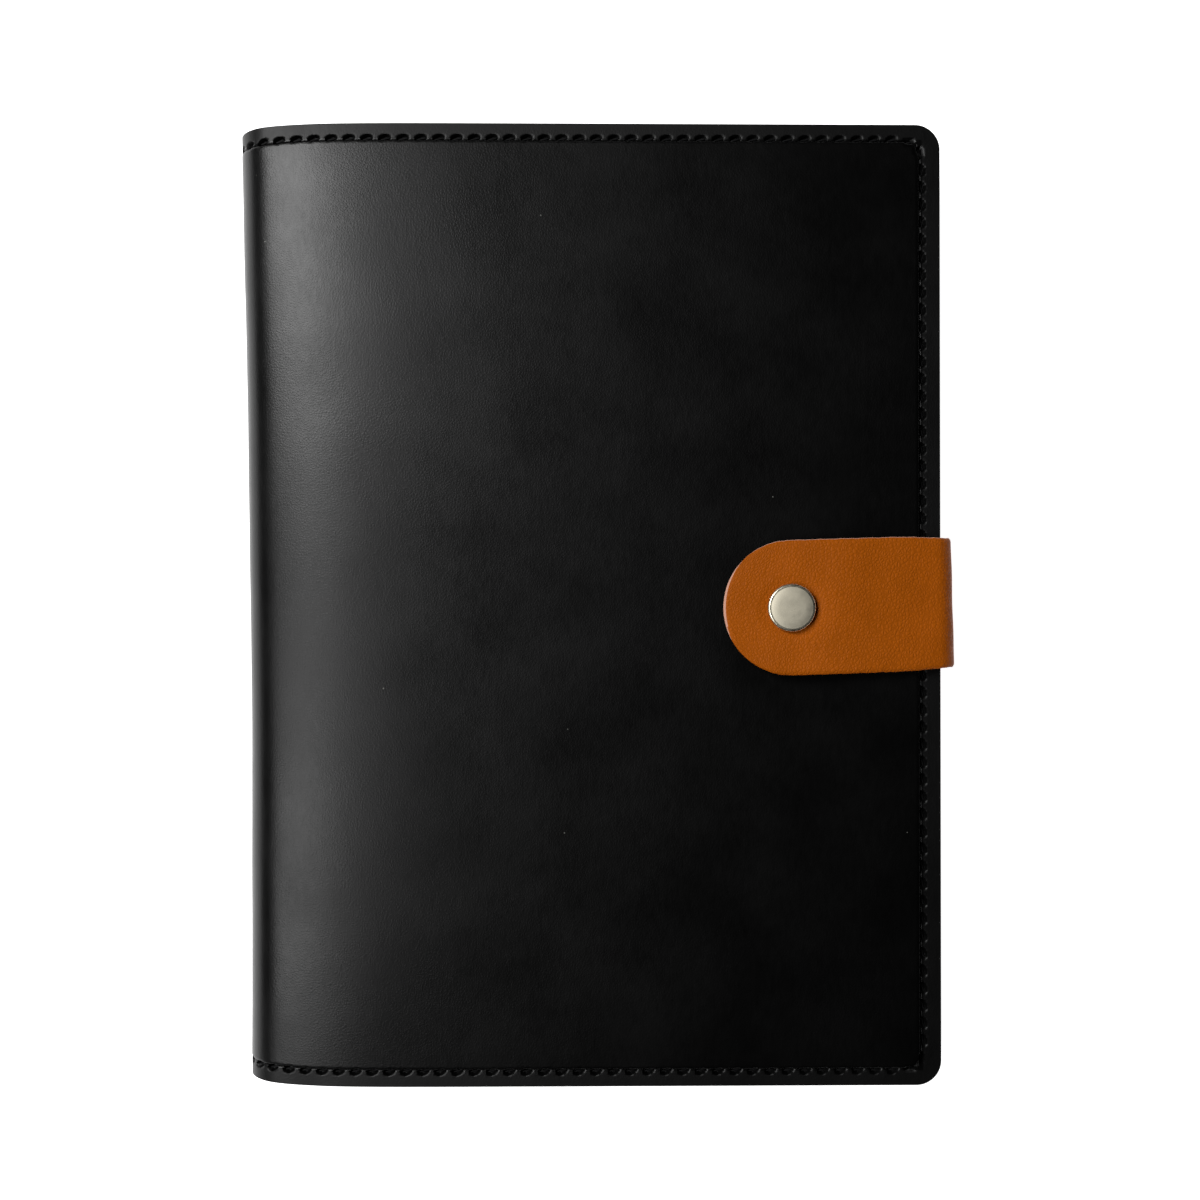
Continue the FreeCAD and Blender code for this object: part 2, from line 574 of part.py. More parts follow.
def stitch(centre, heading, turn=Rotation()):
    """One slanted stitch on a surface whose outward side is +Z before the turn."""
    copy = thread.copy()
    slant = Rotation(Vector(0, 0, 1), heading + size("StitchSlant"))
    copy.Placement = Placement(centre, turn * slant)
    return copy


def run_of(length):
    """Stitch centres evenly along a seam, as offsets from its middle."""
    count = int(length / pitch)
    return [(index - (count - 1) / 2) * pitch for index in range(count)]


def panel_stitches():
    """Head, fore edge and tail of one panel, with the first stitches round the roll."""
    level = size("RollRadius")
    side_x = size("PanelWidth") - size("SeamSide")
    end_y = size("CoverHeight") / 2 - size("SeamEnd")
    placed = []
    for offset in run_of(side_x - pitch / 2):
        for end in (-1, 1):
            placed.append(stitch(Vector(side_x / 2 + offset, end * end_y, level), 0))
    for offset in run_of(2 * end_y):
        placed.append(stitch(Vector(side_x, offset, level), 90))
    return placed + roll_stitches(PANEL_ROLL_ANGLES)


def roll_stitches(angles):
    """Stitches on the roll, at the given angles from +X towards +Z."""
    placed = []
    radius = size("RollRadius")
    end_y = size("CoverHeight") / 2 - size("SeamEnd")
    for angle in angles:
        outward = math.radians(angle)
        turn = Rotation(Vector(0, 1, 0), 90 - angle)
        for end in (-1, 1):
            centre = Vector(radius * math.cos(outward), end * end_y, radius * math.sin(outward))
            placed.append(stitch(centre, 0, turn))
    return placed


def stitching(label, placed, turn=Rotation()):
    """A group of separate stitches, in the roll's frame."""
    obj = doc.addObject("Part::Feature", label)
    obj.Shape = Part.makeCompound(placed)
    roll_x = (size("RollRadius") - size("PanelWidth")) / 2
    obj.Placement = Placement(Vector(roll_x, 0, size("RollRadius") + size("PadThick")), turn)
    return finished(obj, label)


stitching("front_stitching", panel_stitches())
unsewn = size("StrapWidth") / 2 + size("SeamEnd")
back_stitches = [one for one in panel_stitches() if abs(one.BoundBox.Center.y) > unsewn]
stitching("back_stitching", back_stitches, FLIPPED)
stitching("spine_stitching", roll_stitches(SPINE_ROLL_ANGLES))

# The strap's sewn end has a row along each edge and one across its end.
fold_clear = 1
anchor_rows = []
anchor_end = size("SnapInset") - size("AnchorLength")
row_y = size("StrapWidth") / 2 - size("SeamEnd")
row_middle = anchor_end + size("AnchorLength") / 2 - fold_clear
anchor_level = size("ThreadProud")
for offset in run_of(size("AnchorLength") - 2 * pitch):
    for end in (-1, 1):
        anchor_rows.append(stitch(Vector(row_middle + offset, end * row_y, anchor_level), 0, FLIPPED))
for offset in run_of(2 * row_y - pitch):
    centre = Vector(anchor_end + size("SeamEnd"), offset, anchor_level)
    anchor_rows.append(stitch(centre, 90, FLIPPED))
anchor_stitching = doc.addObject("Part::Feature", "anchor_stitching")
anchor_stitching.Shape = Part.makeCompound(anchor_rows)
snap_x = (size("RollRadius") + size("PanelWidth")) / 2 - size("SnapInset")
anchor_stitching.Placement = Placement(Vector(snap_x, size("SnapOffset"), 0), SKEWED)
finished(anchor_stitching, "anchor_stitching")

# ---------------------------------------------------------------- check and export

doc.recompute()
for obj in doc.Objects:
    if "Invalid" in obj.State or "Error" in obj.State:
        raise RuntimeError(f"{obj.Label}: {obj.State}")
for obj in parts:
    if obj.Shape.isNull() or not obj.Shape.isValid() or not obj.Shape.Solids:
        raise RuntimeError(f"{obj.Label}: bad shape")

os.makedirs("parts", exist_ok=True)
for obj in parts:
    obj.Shape.exportStep(f"parts/{obj.Label}.step")
    bounds = obj.Shape.BoundBox
    print(f"{obj.Label}: {len(obj.Shape.Solids)} solids, {obj.Shape.Volume:.1f} mm3,"
          f" X {bounds.XMin:.2f}..{bounds.XMax:.2f} Y {bounds.YMin:.2f}..{bounds.YMax:.2f}"
          f" Z {bounds.ZMin:.2f}..{bounds.ZMax:.2f}")
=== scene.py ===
"""A leather notebook cover with a snap strap, closed and lying on its back, with its notebook inside.

Every measure is in metres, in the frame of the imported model: X from the spine to the fore edge,
Y from tail to head, Z up through the thickness. Soft leather is cut flat first, as (u, v): u follows
the section from the middle of the spine to the fore edge, v runs from tail to head. It is then laid
round the cover, with h as its height above the cover's outline.
"""

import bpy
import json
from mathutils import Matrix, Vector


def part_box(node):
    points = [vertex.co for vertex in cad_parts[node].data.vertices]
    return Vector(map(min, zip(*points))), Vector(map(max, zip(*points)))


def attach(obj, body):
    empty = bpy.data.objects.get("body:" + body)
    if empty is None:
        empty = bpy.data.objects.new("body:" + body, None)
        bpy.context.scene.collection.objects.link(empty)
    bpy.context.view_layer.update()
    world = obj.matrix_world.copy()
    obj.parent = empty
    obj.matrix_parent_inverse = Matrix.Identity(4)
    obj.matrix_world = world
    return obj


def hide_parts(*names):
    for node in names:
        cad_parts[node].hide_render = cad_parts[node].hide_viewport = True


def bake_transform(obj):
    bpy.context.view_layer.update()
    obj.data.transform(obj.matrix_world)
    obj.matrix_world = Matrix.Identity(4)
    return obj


bl_info = {
    "name": "Leather notebook cover",
    "version": (1, 0, 0),
    "blender": (4, 5, 0),
    "location": "View3D > Sidebar > Notebook cover",
    "description": "Cuts, sews and finishes a leather notebook cover with a snap strap",
    "category": "Object",
}

import json
import math

import bpy
import numpy as np
from bpy.props import FloatProperty, FloatVectorProperty, IntProperty, PointerProperty
from mathutils import Vector

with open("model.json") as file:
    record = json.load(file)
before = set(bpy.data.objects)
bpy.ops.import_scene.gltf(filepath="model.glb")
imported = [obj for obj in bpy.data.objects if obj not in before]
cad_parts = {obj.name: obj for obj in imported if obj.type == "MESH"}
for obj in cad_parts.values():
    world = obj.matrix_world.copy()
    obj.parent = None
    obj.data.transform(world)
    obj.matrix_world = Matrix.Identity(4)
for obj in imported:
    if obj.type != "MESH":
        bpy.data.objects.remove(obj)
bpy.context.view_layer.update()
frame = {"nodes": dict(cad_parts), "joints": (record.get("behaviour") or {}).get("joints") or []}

MM = 0.001
TINY = 1e-6
FRONT, BACK = 1, -1
SIDES = {"front": FRONT, "back": BACK}

LEATHER_LOW, LEATHER_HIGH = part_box("front_leather")
FORE_EDGE = LEATHER_HIGH.x
HALF_HEIGHT = LEATHER_HIGH.y
FRONT_FACE = LEATHER_HIGH.z
SPINE_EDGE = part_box("spine_leather")[0].x
POCKET_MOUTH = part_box("front_pocket")[0].x
STRAP_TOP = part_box("strap_tail")[1].z
CAP_LOW, CAP_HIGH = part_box("snap_cap")
SNAP = (CAP_LOW + CAP_HIGH) / 2
JOINTS = {joint["name"]: joint for joint in frame["joints"]}


def linear(hex_colour):
    """An sRGB hex colour as the linear values that shaders take."""
    channels = [int(hex_colour[place:place + 2], 16) / 255 for place in (1, 3, 5)]
    return [c / 12.92 if c <= 0.04045 else ((c + 0.055) / 1.055) ** 2.4 for c in channels]


# ---------------------------------------------------------------- sizes and colours


def length(name, description, default):
    """A size in metres that a user may change."""
    return FloatProperty(name=name, description=description, default=default, unit="LENGTH", precision=5)


def colour(name, description, hex_colour):
    """A colour that a user may change."""
    return FloatVectorProperty(name=name, description=description, default=linear(hex_colour),
                               subtype="COLOR", min=0, max=1)


class CoverSizes(bpy.types.PropertyGroup):
    """Sizes of the cover, its seams and its notebook."""

    roll_radius: length("Roll radius", "Outside radius of the rounded spine", 9.6 * MM)
    leather: length("Leather", "Thickness of the outer leather", 1.6 * MM)
    lining: length("Lining", "Thickness of the lining", 0.5 * MM)
    padding: length("Padding", "Thickness of the padding", 1.4 * MM)
    sleeve: length("Sleeve leather", "Thickness of the sleeve pockets", 1.0 * MM)
    sag: length("Sag", "How far the front drops where it meets the roll", 3.03 * MM)
    sag_reach: length("Sag reach", "Distance over which that drop fades", 11.3 * MM)
    lean_tail: length("Lean at the tail", "How far the spine stands in at the tail", 0.8 * MM)
    lean_head: length("Lean at the head", "How far the spine leans out towards the head", 2.3 * MM)
    flare_spine: length("Flare at the spine", "How far head and tail stand out beside the spine",
                        0.85 * MM)
    flare_fore: length("Flare at the fore edge", "How far head and tail stand out there", 0.15 * MM)
    stand_out: length("Stand-out", "How far the leather reaches past the boards at the fore edge", 0.25 * MM)
    lean_fore: length("Lean of the fore edge", "How far it stands out at the tail and in at the head",
                      0.2 * MM)
    corner: length("Corner radius", "Radius of the fore-edge corners", 5.7 * MM)
    margin_step: length("Margin step", "How far the sewn margin lies below the panel", 0.85 * MM)
    seam_end: length("Seam at the ends", "Stitch line from the head or tail edge", 3.4 * MM)
    seam_fore: length("Seam at the fore edge", "Stitch line from the fore edge", 4.1 * MM)
    seam_corner: length("Seam corner", "Where the seam leaves one edge to turn to the next", 6.4 * MM)
    stitch_pitch: length("Stitch pitch", "From one stitch hole to the next", 4.0 * MM)
    thread: length("Thread", "Thickness of the thread", 0.5 * MM)
    signatures: IntProperty(name="Signatures", description="Folded sections in each half of the notebook",
                            default=5, min=1)


class StrapSizes(bpy.types.PropertyGroup):
    """Sizes of the strap and its snap."""

    width: length("Width", "Width of the strap", 30.5 * MM)
    thickness: length("Thickness", "Thickness of the strap", 2.2 * MM)
    skived: length("Skived end", "Thickness of the strap where it is sewn to the back", 1.4 * MM)
    anchor: length("Sewn stretch", "Length of strap sewn to the back", 34 * MM)
    level: length("Level stretch", "Strap from the snap to where it starts to slope", 13 * MM)
    fold_from_snap: length("Fold from snap", "Centre of the folds from the snap's centre", 34.9 * MM)
    fold: length("Lower fold", "Outside radius of the strap's lower fold", 3.0 * MM)
    upper_fold: length("Upper fold", "Outside radius of the strap's upper fold", 4.6 * MM)
    slope: FloatProperty(name="Slope", description="Fall of the strap from the snap to its upper fold",
                         default=math.radians(7), subtype="ANGLE")
    cap_radius: length("Cap radius", "Radius of the snap cap", 5.42 * MM)
    cap_height: length("Cap height", "Snap cap above the strap", 1.6 * MM)


class FinishColours(bpy.types.PropertyGroup):
    """Colours of the leathers, threads, metals and papers."""

    black_leather: colour("Black leather", "Outer leather", "#010101")
    edge: colour("Painted edge", "Edge of the black leather", "#141414")
    tan_leather: colour("Tan leather", "Strap", "#964a06")
    raw_edge: colour("Raw edge", "Cut edge of the strap", "#bd8e7a")
    thread: colour("Thread", "Waxed thread of the seams", "#0a0a0b")
    lining: colour("Lining", "Twill lining", "#2b2a2a")
    padding: colour("Padding", "Felt padding", "#8f8a80")
    nickel: colour("Nickel", "Snap parts", "#d4cdb9")
    steel: colour("Spring steel", "Spring in the socket", "#a9aaad")
    board: colour("Board", "Notebook boards", "#26282b")
    paper: colour("Paper", "Notebook pages", "#efe8d6")


def cover():
    """The cover's sizes."""
    return bpy.context.scene.notebook_cover


def strap():
    """The strap's sizes."""
    return bpy.context.scene.notebook_strap


def strap_end():
    """Where the strap's sewn end stops, from the snap's centre."""
    return strap().fold_from_snap - strap().anchor - 0.5 * MM


# ---------------------------------------------------------------- the bench: selecting, cutting, joining


def smooth(amount):
    """0 below 0, 1 above 1, and an S-shaped rise between."""
    amount = np.clip(amount, 0, 1)
    return amount * amount * (3 - 2 * amount)


def select_only(*pieces):
    """Select these pieces and nothing else; the first is the active one."""
    if bpy.context.object and bpy.context.object.mode != "OBJECT":
        bpy.ops.object.mode_set(mode="OBJECT")
    bpy.ops.object.select_all(action="DESELECT")
    for piece in pieces:
        piece.select_set(True)
    if pieces:
        bpy.context.view_layer.objects.active = pieces[0]


def points(piece):
    """The piece's vertices as an array."""
    flat = np.empty(len(piece.data.vertices) * 3, np.float32)
    piece.data.vertices.foreach_get("co", flat)
    return flat.reshape(-1, 3).astype(float)


def move_points(piece, places):
    """Put the piece's vertices at these places."""
    piece.data.vertices.foreach_set("co", np.asarray(places, np.float32).ravel())
    piece.data.update()


def edit(piece, *steps):
    """Run edit-mode steps on all of a piece. Each step is an operator and its settings."""
    select_only(piece)
    bpy.ops.object.mode_set(mode="EDIT")
    bpy.ops.mesh.select_all(action="SELECT")
    for operator, settings in steps:
        operator(**settings)
    bpy.ops.object.mode_set(mode="OBJECT")


def pick_edges(piece, test):
    """In edit mode with only the edges selected whose two ends, as arrays, pass the test."""
    select_only(piece)
    bpy.ops.object.mode_set(mode="EDIT")
    bpy.ops.mesh.select_mode(type="EDGE")
    bpy.ops.mesh.select_all(action="DESELECT")
    bpy.ops.object.mode_set(mode="OBJECT")
    ends = np.empty(len(piece.data.edges) * 2, np.int32)
    piece.data.edges.foreach_get("vertices", ends)
    places = points(piece)
    ends = ends.reshape(-1, 2)
    piece.data.edges.foreach_set("select", test(places[ends[:, 0]], places[ends[:, 1]]))
    bpy.ops.object.mode_set(mode="EDIT")


def joined(name, pieces):
    """Join pieces into one, under a name of its own."""
    select_only(*pieces)
    if len(pieces) > 1:
        bpy.ops.object.join()
    piece = bpy.context.object
    piece.name = name
    piece.data.name = name
    return piece


def modified(piece, kind, **settings):
    """Add a modifier and apply it."""
    select_only(piece)
    modifier = piece.modifiers.new(kind.title(), kind)
    for name, value in settings.items():
        setattr(modifier, name, value)
    bpy.ops.object.modifier_apply(modifier=modifier.name)
    return piece


def patch(us, vs):
    """A flat cut of sheet, as a grid with its lines at these places."""
    select_only()
    bpy.ops.mesh.primitive_grid_add(x_subdivisions=len(us) - 1, y_subdivisions=len(vs) - 1, size=2,
                                    calc_uvs=False)
    piece = bpy.context.object
    places = points(piece)
    places[:, 0] = np.interp(places[:, 0], np.linspace(-1, 1, len(us)), us)
    places[:, 1] = np.interp(places[:, 1], np.linspace(-1, 1, len(vs)), vs)
    move_points(piece, places)
    return piece


def keep_flat(piece):
    """Store each point's place on the flat cut, in metres, for patterns that follow the surface."""
    layer = piece.data.uv_layers.new(name="Flat")
    corners = np.empty(len(piece.data.loops), np.int32)
    piece.data.loops.foreach_get("vertex_index", corners)
    layer.data.foreach_set("uv", points(piece)[corners, :2].astype(np.float32).ravel())


def softened(piece, angle=50):
    """Smooth shading that keeps cut edges crisp."""
    select_only(piece)
    bpy.ops.object.shade_smooth_by_angle(angle=math.radians(angle))
    return piece


def dressed(piece, slot, *materials):
    """Give a piece its materials. The slot of the record that they stand for is not used."""
    piece.data.materials.clear()
    for material in materials:
        piece.data.materials.append(bpy.data.materials[material])
    return piece


def thickened(piece, thickness, inward_face=False):
    """Give a laid sheet its thickness, behind the face that it was laid with, and a cut edge."""
    if inward_face:
        edit(piece, (bpy.ops.mesh.flip_normals, {}))
    return modified(piece, "SOLIDIFY", thickness=thickness, offset=-1, material_offset_rim=1)


# ---------------------------------------------------------------- the cover's section


def eased(x, z):
    """A bent outline with its changes of curvature spread over a few millimetres, as leather does.
    Its heading is averaged twice over a run of 17 steps; its two ends stay where they were."""
    reach = np.concatenate([[0], np.cumsum(np.hypot(np.diff(x), np.diff(z)))])
    step = 0.2 * MM
    spread = 17
    even = np.arange(0, reach[-1], step)
    along_x = np.gradient(np.interp(even, reach, x))
    along_z = np.gradient(np.interp(even, reach, z))
    heading = np.unwrap(np.arctan2(along_z, along_x))
    for _ in range(2):
        wide = np.pad(heading, spread // 2, "reflect", reflect_type="odd")
        heading = np.convolve(wide, np.ones(spread) / spread, "valid")
    new_x = np.concatenate([[0], np.cumsum(np.cos(heading[1:]))])
    new_z = np.concatenate([[0], np.cumsum(np.sin(heading[1:]))]) * step
    new_x *= (x[-1] - x[0]) / new_x[-1]
    drift = (z[-1] - z[0] - new_z[-1]) * smooth((even - 10 * MM) / (60 * MM))
    return x[0] + new_x, z[0] + new_z + drift


class Section:
    """One side of the cover in section, from the middle of the spine to the fore edge."""

    def __init__(self, side):
        sizes = cover()
        self.side = side
        self.end = FORE_EDGE + sizes.stand_out
        radius = sizes.roll_radius
        lift = 0.1 * MM
        centre_x, centre_z = SPINE_EDGE + radius, radius + lift
        last = math.radians(105) if side == FRONT else math.radians(270)
        angles = np.linspace(math.pi, last, 80)
        roll_x = centre_x + radius * np.cos(angles)
        roll_z = centre_z + radius * np.sin(angles)
        run_x = np.linspace(roll_x[-1], self.end, 400)[1:]
        run = run_x - roll_x[-1]
        if side == FRONT:
            fade = smooth(1 - run / (60 * MM))
            run_z = FRONT_FACE - (FRONT_FACE - roll_z[-1]) * np.exp(-run / sizes.sag_reach) * fade
        else:
            run_z = roll_z[-1] * np.exp(-run / (10 * MM))
        self.x, self.z = eased(np.concatenate([roll_x, run_x]), np.concatenate([roll_z, run_z]))
        steps = np.hypot(np.diff(self.x), np.diff(self.z))
        self.u = np.concatenate([[0], np.cumsum(steps)])
        self.length = self.u[-1]
        along_x, along_z = np.gradient(self.x, self.u), np.gradient(self.z, self.u)
        self.out_x, self.out_z = -side * along_z, side * along_x

    def u_at(self, x):
        """How far along the section a place on the panel is."""
        return self.length - (self.end - x)

    def place(self, u, v, h):
        """Where a point of the flat cut lies, h above the outline. The ends flare a little, and the
        spine and the fore edge lean, because no hand-made cover is quite square."""
        x, z, out_x, out_z = (np.interp(u, self.u, row) for row in (self.x, self.z, self.out_x, self.out_z))
        sizes = cover()
        flare = np.interp(u, (0, self.length), (sizes.flare_spine, sizes.flare_fore)) * smooth(u / (26 * MM))
        v = v * (1 + flare / HALF_HEIGHT)
        towards_head = np.clip((v + 45 * MM) / (150 * MM), 0, None)
        lean = sizes.lean_tail - sizes.lean_head * towards_head ** 1.6
        spine_shift = lean * smooth((-20 * MM - x) / (55 * MM))
        fore_shift = -sizes.lean_fore * v / HALF_HEIGHT * smooth((x - 20 * MM) / (55 * MM))
        return np.stack([x + out_x * h + spine_shift + fore_shift, v, z + out_z * h], axis=1)

    def place_round(self, u, v, h):
        """The same for a point of a square cut whose two fore-edge corners are to be rounded."""
        u, v = rounded(u, v, self.length, HALF_HEIGHT, cover().corner)
        return self.place(u, v, h)


def rounded(u, v, far, half, radius):
    """Turn the two square corners at u = far, v = +-half into round ones."""
    a = np.clip(u - (far - radius), 0, radius)
    b = np.clip(np.abs(v) - (half - radius), 0, radius)
    new_a = a * np.sqrt(1 - b ** 2 / (2 * radius ** 2))
    new_b = b * np.sqrt(1 - a ** 2 / (2 * radius ** 2))
    return u - a + new_a, np.sign(v) * (np.abs(v) - b + new_b)


def on_strap(along, across, height):
    """A place in the strap's own frame, from the snap's centre, as a place in the row frame."""
    axis = Vector(JOINTS["strap_base_fold"]["axis"])
    across_x, across_y = axis.x, axis.y
    x = SNAP.x + along * across_y + across * across_x
    y = SNAP.y - along * across_x + across * across_y
    return np.stack(np.broadcast_arrays(x, y, height), axis=1)


def strap_frame(x, y):
    """The inverse of on_strap: distance along and across the strap from the snap's centre."""
    axis = Vector(JOINTS["strap_base_fold"]["axis"])
    dx, dy = x - SNAP.x, y - SNAP.y
    return dx * axis.y - dy * axis.x, dx * axis.x + dy * axis.y


# ---------------------------------------------------------------- seams


# Half of the stretch of the back's fore edge that is left unsewn, where the strap passes.
STRAP_GAP = 17.5 * MM


def seam_lines(section, gap=None):
    """The seam of one side as runs of holes on the flat cut: head, fore edge and tail.
    gap is a stretch of the fore edge, from its middle, that is left unsewn."""
    sizes = cover()
    far = section.length - sizes.seam_fore
    end = HALF_HEIGHT - sizes.seam_end
    cut = (sizes.seam_corner - sizes.seam_end) * (1 - math.sqrt(0.5))
    corner = (far - cut * sizes.seam_fore / sizes.seam_end, end - cut)
    count = round(corner[0] / sizes.stitch_pitch - 0.5)
    along = (np.arange(count) + 0.5) * corner[0] / (count + 0.5)
    down_count = round(2 * corner[1] / sizes.stitch_pitch)
    down = np.linspace(corner[1], -corner[1], down_count + 1)[1:-1]
    turn = [corner, (far, down[0])]
    head = [(u, end) for u in along] + turn
    tail = [(u, -v) for u, v in head[::-1]]
    if gap is None:
        return [head[:-1] + [(far, v) for v in down] + tail[1:]]
    upper = [(far, v) for v in down if v > gap]
    lower = [(far, v) for v in down if v < -gap]
    return [head[:-1] + upper, lower + tail[1:]]


# How far each pit is turned from its seam, and how far the thread's middle lies down in it.
PIT_SLANT = math.radians(18)
THREAD_SUNK = 0.95 * MM


def seam_pits(u, v, lines, half_length=1.45 * MM, half_width=0.88 * MM, deepest=1.25 * MM):
    """How far the thread draws the leather down: a slanted, steep-sided leaf under each stitch."""
    depth = np.zeros_like(u)
    reach = 3 * MM
    for line in lines:
        for (u0, v0), (u1, v1) in zip(line, line[1:]):
            centre_u, centre_v = (u0 + u1) / 2, (v0 + v1) / 2
            near = (abs(u - centre_u) < reach) & (abs(v - centre_v) < reach)
            du, dv = u[near] - centre_u, v[near] - centre_v
            turn = math.atan2(v1 - v0, u1 - u0) + PIT_SLANT
            along = (du * math.cos(turn) + dv * math.sin(turn)) / half_length
            across = (-du * math.sin(turn) + dv * math.cos(turn)) / half_width
            pit = deepest * (1 - smooth((np.hypot(along, across) - 0.55) / 0.45))
            depth[near] = np.maximum(depth[near], pit)
    return depth


# Rings along one stitch and sides round it.
STITCH_RINGS = 8
STITCH_SIDES = 6


def one_stitch():
    """A single stitch: a round thread from 0 to 1 along Z, to be laid between two holes."""
    select_only()
    bpy.ops.mesh.primitive_cylinder_add(vertices=STITCH_SIDES, radius=0.5, depth=1, location=(0, 0, 0.5),
                                        calc_uvs=False)
    thread = bpy.context.object
    bpy.ops.object.transform_apply(location=True, rotation=True, scale=True)
    pick_edges(thread, lambda a, b: np.abs(a[:, 2] - b[:, 2]) > 0.5)
    bpy.ops.mesh.subdivide(number_cuts=STITCH_RINGS)
    bpy.ops.object.mode_set(mode="OBJECT")
    return thread


def sewn(name, lines, place, base, sunk=-0.1 * MM, slant=0.45 * MM):
    """Lay a stitch between each two holes of each line.
    place puts (u, v, h) on the piece; base gives the height of the leather beside the thread, and sunk
    is how far the thread's middle is drawn down into it. The ends dive into the holes and are thinner."""
    sizes = cover()
    dive_depth = 1.0 * MM
    pattern = one_stitch()
    shape = points(pattern)
    along = shape[:, 2]
    dive = np.abs(2 * along - 1) ** 5
    waist = sizes.thread * (1 - 0.35 * dive)
    side, up = shape[:, 0] * waist, shape[:, 1] * waist * 0.9
    copies = []
    for line in lines:
        for (u0, v0), (u1, v1) in zip(line, line[1:]):
            heading = math.atan2(v1 - v0, u1 - u0)
            swing = side + slant * (2 * along - 1)
            u = u0 + (u1 - u0) * along - math.sin(heading) * swing
            v = v0 + (v1 - v0) * along + math.cos(heading) * swing
            h = base(u, v) + up - sunk - dive_depth * dive
            copy = pattern.copy()
            copy.data = pattern.data.copy()
            bpy.context.collection.objects.link(copy)
            move_points(copy, place(u, v, h))
            copies.append(copy)
    bpy.data.objects.remove(pattern)
    piece = joined(name, copies)
    edit(piece, (bpy.ops.mesh.normals_make_consistent, {"inside": False}))
    return softened(piece, 80)


# ---------------------------------------------------------------- the outer leather

# The sewn margin is a strip with close lines, BAND wide, with SEAM_DETAIL lines from stitch to stitch.
# The panel inside it has one line for every COARSE of those.
BAND = 7 * MM
SEAM_DETAIL = 11
COARSE = 4
ACROSS_MARGIN = np.array([0, 0.8, 1.6, 2.2, 2.45, 2.65, 2.9, 3.2, 3.5, 3.75, 3.86, 3.96, 4.06, 4.16, 4.26,
                          4.46, 4.9, 5.6, 7]) * MM


def from_sewn_edge(u, v, section):
    """Distance in from the sewn edges, drawn so that the seam is equally far in all round and turns
    each corner in a curve. It goes no further than where that curve starts."""
    sizes = cover()
    from_end = HALF_HEIGHT - np.abs(v)
    from_fore = (section.length - u) * sizes.seam_end / sizes.seam_fore
    short_of_end = np.clip(sizes.seam_corner - from_end, 0, None)
    short_of_fore = np.clip(sizes.seam_corner - from_fore, 0, None)
    return sizes.seam_corner - np.hypot(short_of_end, short_of_fore)


def margin_depth(u, v, section):
    """How far the leather lies below the panel towards the sewn edges, without the stitches' pits:
    a steep step just inside the seam, a thin crease at its foot and a softened edge at its top."""
    sizes = cover()
    past_seam = (from_sewn_edge(u, v, section) - sizes.seam_end) / MM
    step_at, crease_at = 0.76, 0.56
    on_panel = smooth((u - 11 * MM) / (13 * MM))
    step = sizes.margin_step * np.clip((step_at - past_seam) / 0.12, 0, 1) * (0.12 + 0.88 * on_panel)
    crease = 0.22 * MM * np.clip(1 - np.abs(past_seam - crease_at) / 0.16, 0, 1)
    panel_edge = 0.14 * MM * np.clip(1 - np.abs(past_seam - step_at) / 0.3, 0, 1) ** 2
    return step + crease + panel_edge


def waver(u, v):
    """The slight unevenness of hand-laid leather."""
    a = np.sin(u * 61 + v * 37 + 1.3) * np.sin(v * 53 - u * 29 + 0.4)
    b = np.sin(u * 143 - v * 97 + 2.1) * np.sin(v * 171 + u * 83)
    return (0.07 * a + 0.03 * b) * MM


def strap_recess(u, v, section):
    """How far inside the outline of the strap's sewn end, which is let into the back, a point lies."""
    sizes = strap()
    x = section.end - (section.length - u)
    along, across = strap_frame(x, v)
    return np.minimum(sizes.width / 2 - np.abs(across), along - strap_end())


